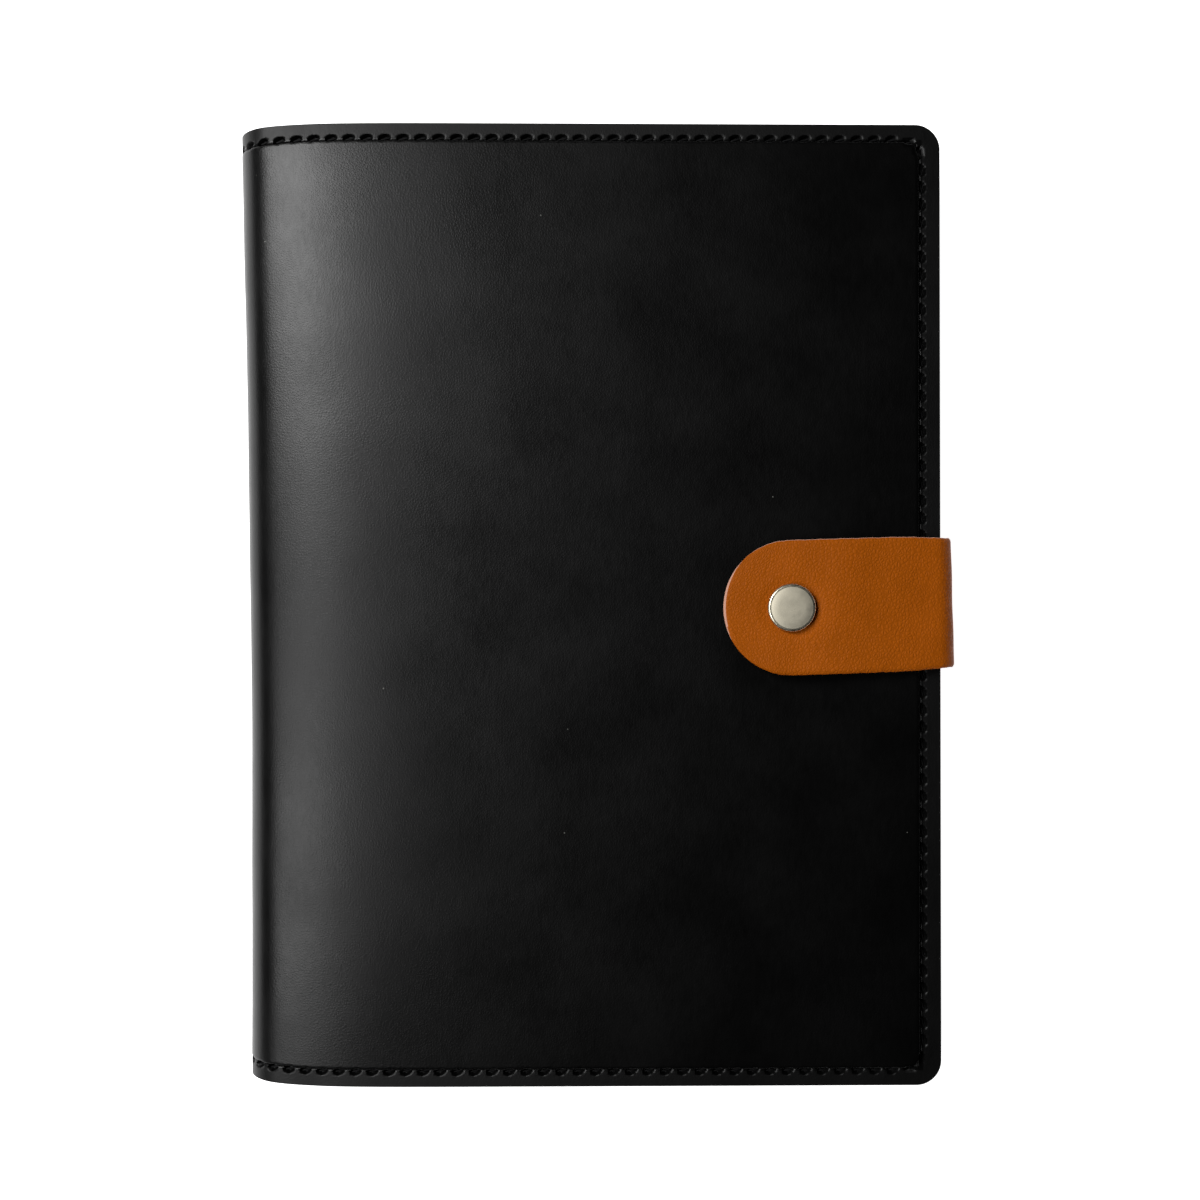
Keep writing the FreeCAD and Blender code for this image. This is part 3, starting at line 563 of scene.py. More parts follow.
def skin(side):
    """Cut, press and lay the outer leather of one side, from the middle of the spine."""
    sizes = cover()
    section = Section(side)
    wider = sizes.seam_fore / sizes.seam_end
    far, half = section.length - BAND * wider, HALF_HEIGHT - BAND
    step = sizes.stitch_pitch / SEAM_DETAIL * COARSE
    us = np.linspace(0, far, COARSE * math.ceil(far / step) + 1)
    vs = np.linspace(-half, half, COARSE * math.ceil(2 * half / step) + 1)
    head = HALF_HEIGHT - ACROSS_MARGIN[::-1]
    fore = section.length - ACROSS_MARGIN[::-1] * wider
    tail = -head[::-1]
    panel = patch(us[::COARSE], vs[::COARSE])

    def on_rim(a, b):
        edge_u = (a[:, 0] > far - TINY) & (b[:, 0] > far - TINY)
        edge_v = (np.abs(a[:, 1]) > half - TINY) & (np.abs(b[:, 1]) > half - TINY)
        return edge_u | (edge_v & (a[:, 1] * b[:, 1] > 0))

    pick_edges(panel, on_rim)
    bpy.ops.mesh.subdivide(number_cuts=COARSE - 1)
    bpy.ops.object.mode_set(mode="OBJECT")
    margins = [patch(us, head), patch(us, tail), patch(fore, vs), patch(fore, head), patch(fore, tail)]
    name = "front_skin" if side == FRONT else "back_skin"
    piece = joined(name, [panel, *margins])
    edit(piece, (bpy.ops.mesh.remove_doubles, {"threshold": 0.02 * MM}))
    keep_flat(piece)
    u, v = points(piece)[:, :2].T
    from_edge = np.minimum(section.length - u, HALF_HEIGHT - np.abs(v))
    h = waver(u, v) * smooth((from_edge - 6 * MM) / (20 * MM))
    lines = seam_lines(section, None if side == FRONT else STRAP_GAP)
    first_u, first_v = lines[0][0]
    round_spine = [[(-first_u, first_v), (first_u, first_v)], [(first_u, -first_v), (-first_u, -first_v)]]
    h -= margin_depth(u, v, section)
    pits = seam_pits(u, v, lines + round_spine)
    if side == BACK:
        sunk = -sizes.padding - 0.05 * MM
        pressed = smooth((strap_recess(u, v, section) + 2.4 * MM) / (2.2 * MM))
        h = h * (1 - pressed) + sunk * pressed
    u, v = rounded(u, v, section.length, HALF_HEIGHT, sizes.corner)
    outer_face = section.place(u, v, h - pits)
    inner_face = section.place(u, v, h - sizes.leather)
    move_points(piece, outer_face)
    if side == BACK:
        edit(piece, (bpy.ops.mesh.flip_normals, {}))
    dressed(piece, "black_leather", "Black calf leather", "Painted leather edge")
    thickened(piece, sizes.leather)
    move_points(piece, np.concatenate([outer_face, inner_face]))
    return softened(piece)


def bend_with_cover(piece, side):
    """Bake a piece of one side into its place; it is not bent where its side meets the roll."""
    if side == FRONT:
        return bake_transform(piece)
    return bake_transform(piece)


class COVER_OT_outer_leather(bpy.types.Operator):
    """Cut and lay the outer leather, front and back, round the spine"""

    bl_idname = "cover.outer_leather"
    bl_label = "Outer leather"

    def execute(self, context):
        front = skin(FRONT)
        bend_with_cover(front, FRONT)
        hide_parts("front_leather", "spine_leather")
        back = skin(BACK)
        bend_with_cover(back, BACK)
        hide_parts("back_leather")
        return {"FINISHED"}


# ---------------------------------------------------------------- seams of the cover


class COVER_OT_seams(bpy.types.Operator):
    """Sew the cover's edges with single slanted stitches"""

    bl_idname = "cover.seams"
    bl_label = "Seams"

    def execute(self, context):
        sizes = cover()
        crossing = []
        for name, side in SIDES.items():
            section = Section(side)
            lines = seam_lines(section, None if side == FRONT else STRAP_GAP)
            thread = sewn(f"{name}_thread", lines, section.place_round,
                          lambda u, v: -margin_depth(u, v, section), THREAD_SUNK)
            dressed(thread, "thread", "Waxed thread")
            bend_with_cover(thread, side)
            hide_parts(f"{name}_stitching")
            crossing.append((section, lines[0][0][0]))
        (front, front_hole), (back, back_hole) = crossing
        end = HALF_HEIGHT - sizes.seam_end

        def round_spine(u, v, h):
            return np.where(u[:, None] > 0, front.place(u, v, h), back.place(-u, v, h))

        across = [[(-back_hole, end), (front_hole, end)], [(front_hole, -end), (-back_hole, -end)]]
        spine = sewn("spine_thread", across, round_spine, lambda u, v: -margin_depth(np.abs(u), v, front),
                     THREAD_SUNK)
        dressed(spine, "thread", "Waxed thread")
        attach(spine, "spine_roll")
        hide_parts("spine_stitching")
        return {"FINISHED"}


# ---------------------------------------------------------------- padding, lining and sleeves


class COVER_OT_padding(bpy.types.Operator):
    """Cut the felt that raises each panel above its sewn margin"""

    bl_idname = "cover.padding"
    bl_label = "Padding"

    def execute(self, context):
        sizes = cover()
        for name, side in SIDES.items():
            section = Section(side)
            start, far = 16 * MM, section.length - BAND
            half = HALF_HEIGHT - BAND
            piece = joined(f"{name}_felt", [patch(np.linspace(start, far, 60), np.linspace(-half, half, 40))])
            u, v = points(piece)[:, :2].T
            skived = smooth((u - start) / (14 * MM))
            outside = -sizes.leather - 0.1 * MM - (1 - skived) * 0.2 * MM
            if side == BACK:
                pressed = smooth((strap_recess(u, v, section) + 5 * MM) / (4 * MM))
                outside = outside - 0.9 * MM * pressed
            move_points(piece, section.place(u, v, outside))
            dressed(piece, "padding", "Wool felt")
            thickened(piece, (sizes.padding - 0.2 * MM) * (0.35 if side == BACK else 0.9), side == BACK)
            softened(piece)
            bend_with_cover(piece, side)
            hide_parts(f"{name}_padding")
        return {"FINISHED"}


def lining_height(u):
    """Inner face of the lining, which hugs the leather in the roll and the padding on the panel."""
    sizes = cover()
    return -(sizes.leather + sizes.lining) - sizes.padding * smooth((u - 13 * MM) / (20 * MM))


class COVER_OT_lining(bpy.types.Operator):
    """Cut the lining and lay it inside the cover"""

    bl_idname = "cover.lining"
    bl_label = "Lining"

    def execute(self, context):
        sizes = cover()
        for name, side in SIDES.items():
            section = Section(side)
            us = np.concatenate([np.arange(0, 34, 1) * MM, np.linspace(34 * MM, section.length, 60)])
            vs = np.linspace(-HALF_HEIGHT, HALF_HEIGHT, 90)
            piece = joined(f"{name}_lining_cloth", [patch(us, vs)])
            keep_flat(piece)
            u, v = points(piece)[:, :2].T
            u, v = rounded(u, v, section.length - 0.3 * MM, HALF_HEIGHT - 0.3 * MM, sizes.corner)
            move_points(piece, section.place(u, v * (1 - 0.3 * MM / HALF_HEIGHT), lining_height(u)))
            dressed(piece, "lining", "Cotton twill lining")
            thickened(piece, sizes.lining, inward_face=side == FRONT)
            softened(piece)
            bend_with_cover(piece, side)
            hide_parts(f"{name}_lining")
            if side == BACK:
                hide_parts("spine_lining")
        return {"FINISHED"}


def sleeve_height(u, v, section):
    """Inner face of a sleeve: flat on the lining where it is sewn, raised where the board slides in."""
    from_end = (HALF_HEIGHT - np.abs(v)) / MM
    from_fore = (section.length - u) / MM
    rise = np.minimum(smooth((from_end - 3.3) / 1.5), smooth((from_fore - 3.8) / 3.0))
    edge = np.minimum(from_end, from_fore)
    groove = 0.2 * MM * np.exp(-((edge - 2.9) / 0.4) ** 2)
    curl = 0.3 * MM * np.clip(1 - edge / 0.4, 0, 1) ** 2
    from_mouth = (u - section.u_at(POCKET_MOUTH)) / MM
    crease = 0.25 * MM * np.exp(-((from_mouth - 2.6) / 0.3) ** 2)
    lip = 0.35 * MM * np.clip(1 - from_mouth / 0.4, 0, 1) ** 2
    return -4.5 * MM - 2.2 * MM * rise + groove + curl + crease + lip


class COVER_OT_sleeves(bpy.types.Operator):
    """Cut, shape and sew in the two sleeves that hold the notebook's boards"""

    bl_idname = "cover.sleeves"
    bl_label = "Sleeves"

    def execute(self, context):
        sizes = cover()
        for name, side in SIDES.items():
            section = Section(side)
            mouth = section.u_at(POCKET_MOUTH)
            near_edge = np.array([0, 0.15, 0.4, 0.8, 1.5, 2.2, 2.6, 2.9, 3.2, 3.5, 3.8, 4.1, 4.4, 4.8, 5.4,
                                  6.2, 7]) * MM
            near_mouth = np.array([0, 0.15, 0.4, 1.2, 2.0, 2.3, 2.6, 2.9, 3.2, 4]) * MM
            us = np.concatenate([mouth + near_mouth, np.linspace(mouth + 6 * MM, section.length - 9 * MM, 30),
                                 section.length - near_edge[::-1]])
            vs = np.concatenate([-HALF_HEIGHT + near_edge,
                                 np.linspace(-HALF_HEIGHT + 9 * MM, HALF_HEIGHT - 9 * MM, 80),
                                 HALF_HEIGHT - near_edge[::-1]])
            piece = joined(f"{name}_sleeve", [patch(us, vs)])
            keep_flat(piece)
            u, v = points(piece)[:, :2].T
            h = sleeve_height(u, v, section) + 0.8 * waver(u * 1.7 + side, v * 1.3)
            move_points(piece, section.place_round(u, v, h))
            dressed(piece, "pocket_leather", "Sleeve leather", "Painted leather edge")
            thickened(piece, sizes.sleeve, inward_face=side == FRONT)
            softened(piece)
            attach(piece, f"{name}_cover")
            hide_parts(f"{name}_pocket")

            lines = [[hole for hole in line if hole[0] > mouth] for line in seam_lines(section)]
            thread = sewn(f"{name}_sleeve_thread", lines, lambda u, v, h: section.place_round(u, v, -h),
                          lambda u, v: -sleeve_height(u, v, section))
            dressed(thread, "thread", "Waxed thread")
            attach(thread, f"{name}_cover")
        return {"FINISHED"}


# ---------------------------------------------------------------- the strap


class StrapPath:
    """The strap's outer face in section, from its tip over the folds to its sewn end."""

    def __init__(self):
        sizes = strap()
        fold, centre = sizes.fold, sizes.fold_from_snap
        slope = sizes.slope
        tip = -sizes.width / 2
        turn = sizes.upper_fold
        turn_x = centre + fold - turn
        drop = (turn_x + turn * math.sin(slope) - sizes.level) * math.tan(slope)
        upper = STRAP_TOP - drop - turn * math.cos(slope)
        high = np.linspace(math.pi / 2 - slope, 0, 16)
        low = np.linspace(0, -math.pi / 2, 16)
        bend = sizes.level + np.linspace(-4, 4, 9) * MM
        drop_in_bend = math.tan(slope) * (np.linspace(0, 8, 9) * MM) ** 2 / (16 * MM)
        stretches = [
            (np.array([tip]), np.array([STRAP_TOP])),
            (bend, STRAP_TOP - drop_in_bend),
            (turn_x + turn * np.cos(high), upper + turn * np.sin(high)),
            (centre + fold * np.cos(low), fold + fold * np.sin(low)),
            (np.array([strap_end()]), np.array([0.0])),
        ]
        corners_x = np.concatenate([x for x, _ in stretches])
        corners_z = np.concatenate([z for _, z in stretches])
        reach = np.concatenate([[0], np.cumsum(np.hypot(np.diff(corners_x), np.diff(corners_z)))])
        self.s = np.linspace(0, reach[-1], 700)
        self.x = np.interp(self.s, reach, corners_x)
        self.z = np.interp(self.s, reach, corners_z)
        along_x, along_z = np.gradient(self.x, self.s), np.gradient(self.z, self.s)
        size = np.hypot(along_x, along_z)
        self.out_x, self.out_z = -along_z / size, along_x / size
        self.length = reach[-1]
        first_high = 1 + len(bend)
        first_low = first_high + len(high)
        self.fold_start = reach[first_high]
        self.low_fold = reach[first_low]
        self.middle = (reach[first_low - 1] + reach[first_low]) / 2

    def place(self, s, w, h):
        """Where a point of the flat strap lies, h above its outer face."""
        x, z, out_x, out_z = (np.interp(s, self.s, row) for row in (self.x, self.z, self.out_x, self.out_z))
        return on_strap(x + out_x * h, w, z + out_z * h)


# Lines close together at the strap's edges, measured in from them.
EDGE_LINES = np.array([0, 0.1, 0.25, 0.5, 0.9, 1.4]) * MM


def strap_lines(half):
    """Lines along the strap, close together at its edges."""
    between = np.linspace(-half + 2 * MM, half - 2 * MM, 44)
    return np.concatenate([-half + EDGE_LINES, between, half - EDGE_LINES[::-1]])


# How much narrower the strap is over its folds, drawn in by the bend.
WAIST = 0.034


def strap_width(s, path):
    """The strap narrows a little where it turns over the fore edge."""
    return 1 - WAIST * smooth((s - path.fold_start + 10 * MM) / (14 * MM))


def strap_face(s, w, half):
    """Height of the strap's outer face: softened edges, a dish under the cap, and a hand-cut unevenness."""
    edge = np.minimum(s, half - np.abs(w)) / MM
    h = -0.4 * MM * np.clip(1 - edge / 0.9, 0, 1) ** 2
    from_snap = np.hypot(s - half, w) / MM
    h -= 0.3 * MM * smooth((8.2 - from_snap) / 3.2)
    h += 0.09 * MM * np.sin(s * 420 + w * 160) * np.sin(w * 310 - s * 90 + 0.7)
    return h


def bare_edge(piece, cut):
    """Take the second finish on the faces whose corners all lie within the cut edge."""
    for face in piece.data.polygons:
        face.material_index = int(all(cut[corner] for corner in face.vertices))


class COVER_OT_strap(bpy.types.Operator):
    """Cut the strap, fold it over the fore edge and sew its end to the back"""

    bl_idname = "cover.strap"
    bl_label = "Strap"

    def execute(self, context):
        sizes = strap()
        path = StrapPath()
        half = sizes.width / 2

        us = np.concatenate([EDGE_LINES, np.arange(2 * MM, path.fold_start, 0.6 * MM),
                             np.linspace(path.fold_start, path.middle, 26)])
        flap = joined("strap_tail_leather", [patch(us, strap_lines(half))])
        keep_flat(flap)
        s, w = points(flap)[:, :2].T
        h = strap_face(s, w, half)
        bare_tip = 0.85 * MM * smooth((w / half + 0.85) / 0.9)
        cut = (s < bare_tip) | (half - w < 0.2 * MM)
        reversed_s, w = rounded(-s, w, 0, half, half)
        s = -reversed_s
        ragged = 1 + 0.0035 * np.sin(s * 1900) * np.sin(s * 730 + 1)
        w = w * strap_width(s, path) * ragged
        move_points(flap, path.place(s, w, h))
        dressed(flap, "tan_leather", "Tan bridle leather", "Raw leather edge")
        bare_edge(flap, cut)
        thickened(flap, sizes.thickness)
        softened(flap)
        upper_fold = path.place(path.fold_start + np.array([-1.5, 6.6]) * MM, np.zeros(2),
                                np.array([-sizes.thickness / 2, -sizes.thickness]))
        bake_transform(flap)
        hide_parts("strap_tail")

        us = np.concatenate([np.linspace(path.middle, path.low_fold + 6 * MM, 30),
                             np.linspace(path.low_fold + 7 * MM, path.length - 2 * MM, 30),
                             path.length - EDGE_LINES[::-1]])
        base = joined("strap_anchor_leather", [patch(us, strap_lines(half))])
        keep_flat(base)
        s, w = points(base)[:, :2].T
        h = -0.3 * MM * np.clip(1 - (half - np.abs(w)) / (0.7 * MM), 0, 1) ** 2
        cut = np.minimum(path.length - s, half - np.abs(w)) < 0.3 * MM
        s, w = rounded(s, w, path.length, half, 4 * MM)
        w = w * (1 - WAIST * smooth((path.low_fold + 8 * MM - s) / (8 * MM)))
        move_points(base, path.place(s, w, h))
        dressed(base, "tan_leather", "Tan bridle leather", "Raw leather edge")
        bare_edge(base, cut)
        thickened(base, sizes.thickness)
        places = points(base)
        along, _ = strap_frame(places[:, 0], places[:, 1])
        skived = smooth((sizes.fold_from_snap - along) / (4 * MM))
        places[:, 2] *= 1 - (1 - sizes.skived / sizes.thickness) * skived
        move_points(base, places)
        softened(base)
        lower_fold = path.place(path.low_fold + np.array([-1.5, 6.5]) * MM, np.zeros(2),
                                np.full(2, -sizes.thickness / 2))
        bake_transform(base)
        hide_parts("strap_anchor", "strap_rise")

        inset = 3 * MM
        start, reach = strap_end() + inset, sizes.fold_from_snap - 5 * MM
        row = half - inset
        along = np.linspace(start, reach, round((reach - start) / cover().stitch_pitch) + 1)
        across = np.linspace(-row, row, round(2 * row / cover().stitch_pitch) + 1)
        lines = [[(a, row) for a in along[::-1]], [(along[0], b) for b in across[::-1]],
                 [(a, -row) for a in along]]
        thread = sewn("anchor_thread", lines, lambda a, b, height: on_strap(a, b, -height),
                      lambda a, b: np.full_like(a, 0.0))
        dressed(thread, "thread", "Waxed thread")
        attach(thread, "back_cover")
        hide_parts("anchor_stitching")
        return {"FINISHED"}


# ---------------------------------------------------------------- the snap


def turned(name, profile, centre, sides=72):
    """A turned piece: a disc drawn out ring by ring through (radius, height) pairs, from bottom to top."""
    select_only()
    radius, height = profile[0]
    bpy.ops.mesh.primitive_circle_add(vertices=sides, radius=radius, fill_type="NGON", calc_uvs=False,
                                      location=(centre.x, centre.y, centre.z + height))
    bpy.ops.object.transform_apply(location=True, rotation=True, scale=True)
    piece = bpy.context.object
    bpy.ops.object.mode_set(mode="EDIT")
    for (r0, z0), (r1, z1) in zip(profile, profile[1:]):
        bpy.ops.mesh.extrude_region_move(TRANSFORM_OT_translate={"value": (0, 0, z1 - z0)})
        bpy.ops.transform.resize(value=(r1 / r0, r1 / r0, 1),
                                 center_override=(centre.x, centre.y, centre.z + z1))
    bpy.ops.mesh.select_all(action="SELECT")
    bpy.ops.mesh.normals_make_consistent(inside=False)
    bpy.ops.object.mode_set(mode="OBJECT")
    piece.name = name
    return softened(piece, 35)


class COVER_OT_snap(bpy.types.Operator):
    """Turn the snap's cap and finish its socket, spring, stud and post"""

    bl_idname = "cover.snap"
    bl_label = "Snap"

    def execute(self, context):
        sizes = strap()
        radius, top = sizes.cap_radius, sizes.cap_height
        roll, roll_drop = 0.55 * MM, 0.62 * MM
        rim = [(radius - roll + roll * math.sin(a), top - roll_drop + roll * math.cos(a))
               for a in np.linspace(math.radians(150), math.radians(12), 10)]
        flat = radius - 0.72 * MM
        profile = [(1.4 * MM, -0.6 * MM), (radius - 1.1 * MM, -0.3 * MM), *rim,
                   (flat, top - 0.13 * MM), (flat - 0.12 * MM, top - 0.1 * MM),
                   (flat * 0.6, top - 0.04 * MM), (flat * 0.2, top)]
        seat = Vector((SNAP.x, SNAP.y, STRAP_TOP))
        cap = turned("snap_cap_shell", profile, seat)
        dressed(cap, "nickel", "Nickel-plated brass", "Satin nickel disc")
        for face in cap.data.polygons:
            from_centre = math.hypot(face.center.x - SNAP.x, face.center.y - SNAP.y)
            face.material_index = int(face.normal.z > 0.9 and from_centre < flat)
        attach(cap, "strap_flap")
        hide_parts("snap_cap")
        for node in ("snap_socket", "snap_stud", "snap_post"):
            dressed(frame["nodes"][node], "nickel", "Nickel-plated brass")
        dressed(frame["nodes"]["socket_spring"], "spring_steel", "Spring steel")
        return {"FINISHED"}


# ---------------------------------------------------------------- the notebook


def signature(low, high, corner):
    """One folded section of pages: a slab with a rounded spine fold and rounded fore-edge corners."""
    select_only()
    centre, size = (low + high) / 2, high - low
    bpy.ops.mesh.primitive_cube_add(size=1, location=centre, scale=size, calc_uvs=False)
    bpy.ops.object.transform_apply(location=True, rotation=True, scale=True)
    slab = bpy.context.object
    pick_edges(slab, lambda a, b: (np.abs(a[:, 2] - b[:, 2]) > TINY) & (a[:, 0] > centre.x))
    bpy.ops.mesh.bevel(offset=corner, segments=8, affect="EDGES")
    bpy.ops.object.mode_set(mode="OBJECT")
    pick_edges(slab, lambda a, b: (np.abs(a[:, 1] - b[:, 1]) > size.y / 2) & (a[:, 0] < centre.x))
    bpy.ops.mesh.bevel(offset=size.z * 0.42, segments=5, affect="EDGES")
    bpy.ops.object.mode_set(mode="OBJECT")
    return slab


class COVER_OT_notebook(bpy.types.Operator):
    """Fold and stack the notebook's pages, and finish its boards"""

    bl_idname = "cover.notebook"
    bl_label = "Notebook"

    def execute(self, context):
        count = cover().signatures
        gap = 0.01 * MM
        for name, body in (("front", "turned_pages"), ("back", "back_cover")):
            low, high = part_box(f"{name}_pages")
            thick = (high.z - low.z) / count
            slabs = []
            for number in range(count):
                shift = 0.25 * MM * math.sin(number * 2.4 + (name == "front"))
                under = low.z + number * thick
                near = Vector((low.x + abs(shift), low.y + abs(shift) / 2, under + gap))
                far = Vector((high.x + shift - 0.3 * MM, high.y - abs(shift) / 2, under + thick - gap))
                slabs.append(signature(near, far, 6 * MM))
            block = softened(joined(f"{name}_page_block", slabs), 40)
            dressed(block, "paper", "Page block paper")
            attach(block, body)
            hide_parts(f"{name}_pages")
            dressed(frame["nodes"][f"notebook_{name}_board"], "board", "Bookcloth board")
            dressed(frame["nodes"][f"{name}_endpaper"], "paper", "Endpaper")
        dressed(frame["nodes"]["notebook_spine_strip"], "board", "Bookcloth board")
        return {"FINISHED"}


# ---------------------------------------------------------------- finishes

# The phase, in radians, that a band texture gains over one unit of its scaled coordinate. One band is
# 2 pi radians, and a diagonal one gains half of this along each axis.
BAND_TURN = 20


def add(tree, kind, values=None, links=None, **settings):
    """Add one node, with its settings, its own socket values and its incoming links."""
    made = tree.nodes.new(f"ShaderNode{kind}")
    for name, value in settings.items():
        setattr(made, name, value)
    for socket, value in (values or {}).items():
        made.inputs[socket].default_value = value
    for socket, source in (links or {}).items():
        tree.links.new(source, made.inputs[socket])
    return made


def new_finish(name, **values):
    """A new material with its shader's constant values set."""
    material = bpy.data.materials.new(name)
    material.use_nodes = True
    tree = material.node_tree
    shader = tree.nodes["Principled BSDF"]
    for socket, value in values.items():
        shader.inputs[socket.replace("_", " ")].default_value = value
    return tree, shader


def shade(colour, share=1.0):
    """A colour property as a socket's value, darker or lighter."""
    return (*[min(1, channel * share) for channel in colour], 1)


def leather_grain(tree, grain, wrinkle, depth):
    """Bump of a leather's grain: rounded pebbles between fine creases, with longer soft wrinkles."""
    flat = add(tree, "UVMap", uv_map="Flat").outputs[0]
    drift = add(tree, "TexNoise", {"Scale": 1 / (3 * grain), "Detail": 2}, {"Vector": flat})
    shift = add(tree, "VectorMath", {1: (0.6 * grain,) * 3}, {0: drift.outputs["Color"]},
                operation="MULTIPLY")
    moved = add(tree, "VectorMath", links={0: flat, 1: shift.outputs[0]}, operation="ADD")
    cells = add(tree, "TexVoronoi", {"Scale": 1 / grain}, {"Vector": moved.outputs[0]},
                feature="DISTANCE_TO_EDGE")
    pebble = add(tree, "MapRange", {"From Max": 0.32}, {"Value": cells.outputs["Distance"]},
                 interpolation_type="SMOOTHSTEP")
    folds = add(tree, "TexNoise", {"Scale": 1 / wrinkle, "Detail": 4, "Roughness": 0.62, "Distortion": 0.7},
                {"Vector": flat})
    both = add(tree, "Math", {1: 0.45}, {0: pebble.outputs[0], 2: folds.outputs[0]}, operation="MULTIPLY_ADD")
    bump = add(tree, "Bump", {"Strength": 1.0, "Distance": depth}, {"Height": both.outputs[0]})
    return flat, cells, folds, bump


def black_calf(colours):
    """Calf leather, drum-dyed black and waxed by hand: nearly black, with a broad soft sheen brushed
    from head to tail, a fine tight grain and a speck of dust here and there. Outside the seam it is
    drier than the waxed panel."""
    tree, shader = new_finish("Black calf leather", Specular_IOR_Level=0.2)
    flat, _, _, bump = leather_grain(tree, 0.6 * MM, 5 * MM, 0.02 * MM)
    wear = add(tree, "TexNoise", {"Scale": 1 / (26 * MM), "Detail": 5, "Roughness": 0.6}, {"Vector": flat})
    brushing = add(tree, "Mapping", {"Scale": (1, 0.3, 1)}, {"Vector": flat})
    strokes = add(tree, "TexNoise", {"Scale": 1 / (1.1 * MM), "Detail": 3, "Roughness": 0.6},
                  {"Vector": brushing.outputs[0]})
    worked = add(tree, "Math", {1: 0.45}, {0: strokes.outputs[0], 2: wear.outputs[0]},
                 operation="MULTIPLY_ADD")
    waxed = add(tree, "MapRange", {"From Min": 0.5, "From Max": 0.95, "To Min": 0.28, "To Max": 0.37},
                {"Value": worked.outputs[0]})
    sizes = cover()
    place = add(tree, "SeparateXYZ", links={0: flat})
    from_middle = add(tree, "Math", links={0: place.outputs[1]}, operation="ABSOLUTE")
    seam_v, seam_u = HALF_HEIGHT - sizes.seam_end, Section(FRONT).length - sizes.seam_fore
    past_v = add(tree, "Math", {1: seam_v}, {0: from_middle.outputs[0]}, operation="GREATER_THAN")
    past_u = add(tree, "Math", {1: seam_u}, {0: place.outputs[0]}, operation="GREATER_THAN")
    margin = add(tree, "Math", links={0: past_v.outputs[0], 1: past_u.outputs[0]}, operation="MAXIMUM")
    rough = add(tree, "Math", {1: 0.12}, {0: margin.outputs[0], 2: waxed.outputs[0]},
                operation="MULTIPLY_ADD")
    tree.links.new(rough.outputs[0], shader.inputs["Roughness"])
    specks = add(tree, "TexVoronoi", {"Scale": 1 / (9 * MM)}, {"Vector": flat})
    dust = add(tree, "MapRange", {"From Min": 0.022, "From Max": 0.012},
               {"Value": specks.outputs["Distance"]})
    tone = add(tree, "Mix", {6: shade(colours.black_leather), 7: linear("#6a6a66") + [1]},
               {0: dust.outputs[0]}, data_type="RGBA")
    tree.links.new(tone.outputs[2], shader.inputs["Base Color"])
    tree.links.new(bump.outputs[0], shader.inputs["Normal"])


def painted_edge(colours):
    """Edge paint over cut leather: dark, slightly uneven, satin."""
    tree, shader = new_finish("Painted leather edge", Roughness=0.5, Specular_IOR_Level=0.35)
    place = add(tree, "TexCoord").outputs["Object"]
    uneven = add(tree, "TexNoise", {"Scale": 1 / (0.8 * MM), "Detail": 4}, {"Vector": place})
    tone = add(tree, "Mix", {6: shade(colours.edge, 0.6), 7: shade(colours.edge, 1.6)},
               {0: uneven.outputs[0]}, data_type="RGBA")
    bump = add(tree, "Bump", {"Distance": 0.06 * MM}, {"Height": uneven.outputs[0]})
    tree.links.new(tone.outputs[2], shader.inputs["Base Color"])
    tree.links.new(bump.outputs[0], shader.inputs["Normal"])


def sleeve_leather(colours):
    """Thin black split leather for the sleeves: the outer leather's colour, drier and more even."""
    tree, shader = new_finish("Sleeve leather", Specular_IOR_Level=0.4)
    _, _, folds, bump = leather_grain(tree, 0.9 * MM, 7 * MM, 0.05 * MM)
    rough = add(tree, "MapRange", {"To Min": 0.45, "To Max": 0.62}, {"Value": folds.outputs[0]})
    tone = add(tree, "Mix", {6: shade(colours.black_leather, 2.2), 7: shade(colours.black_leather, 4.5)},
               {0: folds.outputs[0]}, data_type="RGBA")
    tree.links.new(tone.outputs[2], shader.inputs["Base Color"])
    tree.links.new(rough.outputs[0], shader.inputs["Roughness"])
    tree.links.new(bump.outputs[0], shader.inputs["Normal"])


def tan_bridle(colours):
    """Vegetable-tanned strap leather, dyed tan: a coarser grain with wrinkles, and painted shade that darkens
    its creases.
    """
    tree, shader = new_finish("Tan bridle leather", Specular_IOR_Level=0.06)
    flat, cells, _, bump = leather_grain(tree, 0.8 * MM, 2.4 * MM, 0.14 * MM)
    cloud = add(tree, "TexNoise", {"Scale": 1 / (14 * MM), "Detail": 4, "Roughness": 0.55}, {"Vector": flat})
    tone = add(tree, "Mix", {6: shade(colours.tan_leather, 0.82), 7: shade(colours.tan_leather, 1.18)},
               {0: cloud.outputs[0]}, data_type="RGBA")
    # Painted shade: the tone darkens to half towards the edges of the grain's cells, the creases where shade
    # falls.
    crease = add(tree, "MapRange", {"From Max": 0.12, "To Min": 0.35, "To Max": 0.0},
                 {"Value": cells.outputs["Distance"]})
    dark = add(tree, "Mix", {7: shade(colours.tan_leather, 0.5)}, {0: crease.outputs[0], 6: tone.outputs[2]},
               data_type="RGBA")
    rough = add(tree, "MapRange", {"To Min": 0.42, "To Max": 0.6}, {"Value": cloud.outputs[0]})
    tree.links.new(dark.outputs[2], shader.inputs["Base Color"])
    tree.links.new(rough.outputs[0], shader.inputs["Roughness"])
    tree.links.new(bump.outputs[0], shader.inputs["Normal"])


